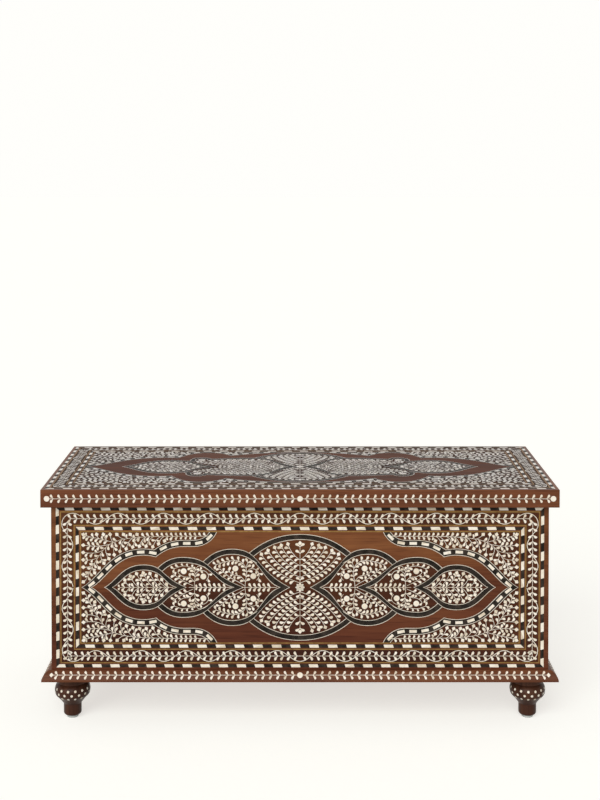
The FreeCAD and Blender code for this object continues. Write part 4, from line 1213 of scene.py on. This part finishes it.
PAPER = (1.0, 0.995, 0.965, 1.0)
SKY_STRENGTH = 0.35
LAMP_STRENGTH = 2.6
LAMP_SPREAD = 55.0
LAMP_DIRECTION = (0.30, 1.00, -0.55)
FLOOR_GLOW = 0.645
FLOOR_COLOUR = (0.51, 0.55, 0.53, 1.0)
SHADE_COLOUR = (1.0, 0.955, 0.915, 1.0)
SKY_COLOUR = (1.0, 0.985, 0.96, 1.0)
LAMP_COLOUR = (1.0, 0.985, 0.955)

# Half the floor's length and its height, in metres
FLOOR_REACH = 40.0
FLOOR_LEVEL = -0.0002
FLOOR_CORNERS = ((-1, -1), (1, -1), (1, 1), (-1, 1))


def seen_directly(tree):
    """1 where a ray comes straight from the camera, a reflection or clear glass."""
    path = tree.nodes.new("ShaderNodeLightPath")
    seen = path.outputs["Is Camera Ray"]
    for kind in ("Is Glossy Ray", "Is Transmission Ray"):
        larger = tree.nodes.new("ShaderNodeMath")
        larger.operation = "MAXIMUM"
        tree.links.new(seen, larger.inputs[0])
        tree.links.new(path.outputs[kind], larger.inputs[1])
        seen = larger.outputs["Value"]
    return seen


def make_floor():
    """Wide pale floor that shows white where the chest doesn't shade it."""
    mesh = bpy.data.meshes.new("floor")
    corners = [(x * FLOOR_REACH, y * FLOOR_REACH, FLOOR_LEVEL) for x, y in FLOOR_CORNERS]
    mesh.from_pydata(corners, [], [(0, 1, 2, 3)])
    floor = add_object("floor", mesh)
    material = bpy.data.materials.new("paper_floor")
    material.use_nodes = True
    tree = material.node_tree
    tree.nodes.remove(tree.nodes["Principled BSDF"])
    diffuse = add_node(tree, "ShaderNodeBsdfDiffuse", Color=FLOOR_COLOUR)
    glow = add_node(tree, "ShaderNodeEmission", Color=SHADE_COLOUR)
    strength = tree.nodes.new("ShaderNodeMath")
    strength.operation = "MULTIPLY"
    strength.inputs[1].default_value = FLOOR_GLOW
    tree.links.new(seen_directly(tree), strength.inputs[0])
    tree.links.new(strength.outputs["Value"], glow.inputs["Strength"])
    total = tree.nodes.new("ShaderNodeAddShader")
    tree.links.new(diffuse.outputs["BSDF"], total.inputs[0])
    tree.links.new(glow.outputs["Emission"], total.inputs[1])
    tree.links.new(total.outputs["Shader"], tree.nodes["Material Output"].inputs["Surface"])
    mesh.materials.append(material)


def make_world():
    """Even soft light; the background shows as white."""
    world = bpy.data.worlds.new("studio")
    bpy.context.scene.world = world
    world.use_nodes = True
    tree = world.node_tree
    light = tree.nodes["Background"]
    set_sockets(light, Color=SKY_COLOUR, Strength=SKY_STRENGTH)
    shown = add_node(tree, "ShaderNodeBackground", Color=PAPER, Strength=1.0)
    mix = tree.nodes.new("ShaderNodeMixShader")
    tree.links.new(seen_directly(tree), mix.inputs["Fac"])
    tree.links.new(light.outputs["Background"], mix.inputs[1])
    tree.links.new(shown.outputs["Background"], mix.inputs[2])
    tree.links.new(mix.outputs["Shader"], tree.nodes["World Output"].inputs["Surface"])


def make_lamp():
    """Broad soft lamp from the upper front left."""
    lamp = bpy.data.lights.new("softbox", "SUN")
    lamp.energy = LAMP_STRENGTH
    lamp.angle = math.radians(LAMP_SPREAD)
    lamp.color = LAMP_COLOUR
    made = add_object("softbox", lamp)
    made.rotation_euler = Vector(LAMP_DIRECTION).to_track_quat("-Z", "Y").to_euler()


# Camera in the photograph's frame of 600 by 800 pixels; the far limit of its view is in metres
CAMERA_DISTANCE = 2967.8
CAMERA_HEIGHT = 1263.8
CAMERA_PITCH = 1.4
CAMERA_LENS = 60.69
CAMERA_SENSOR = 36.0
CAMERA_SHIFT = -0.2611
CAMERA_LIMIT = 200.0


def make_camera():
    """Camera in front of the chest, looking nearly level, with a lowered view."""
    camera = bpy.data.cameras.new("camera")
    camera.lens = CAMERA_LENS
    camera.sensor_width = CAMERA_SENSOR
    camera.shift_y = CAMERA_SHIFT
    camera.clip_end = CAMERA_LIMIT
    made = add_object("camera", camera)
    made.location = (0.0, (LID_FRONT - CAMERA_DISTANCE) * MM, CAMERA_HEIGHT * MM)
    made.rotation_euler = (math.radians(90 - CAMERA_PITCH), 0.0, 0.0)
    bpy.context.scene.camera = made


make_vines()
dress_nodes()
make_floor()
make_world()
make_lamp()
make_camera()
bpy.context.scene.view_settings.view_transform = "Standard"
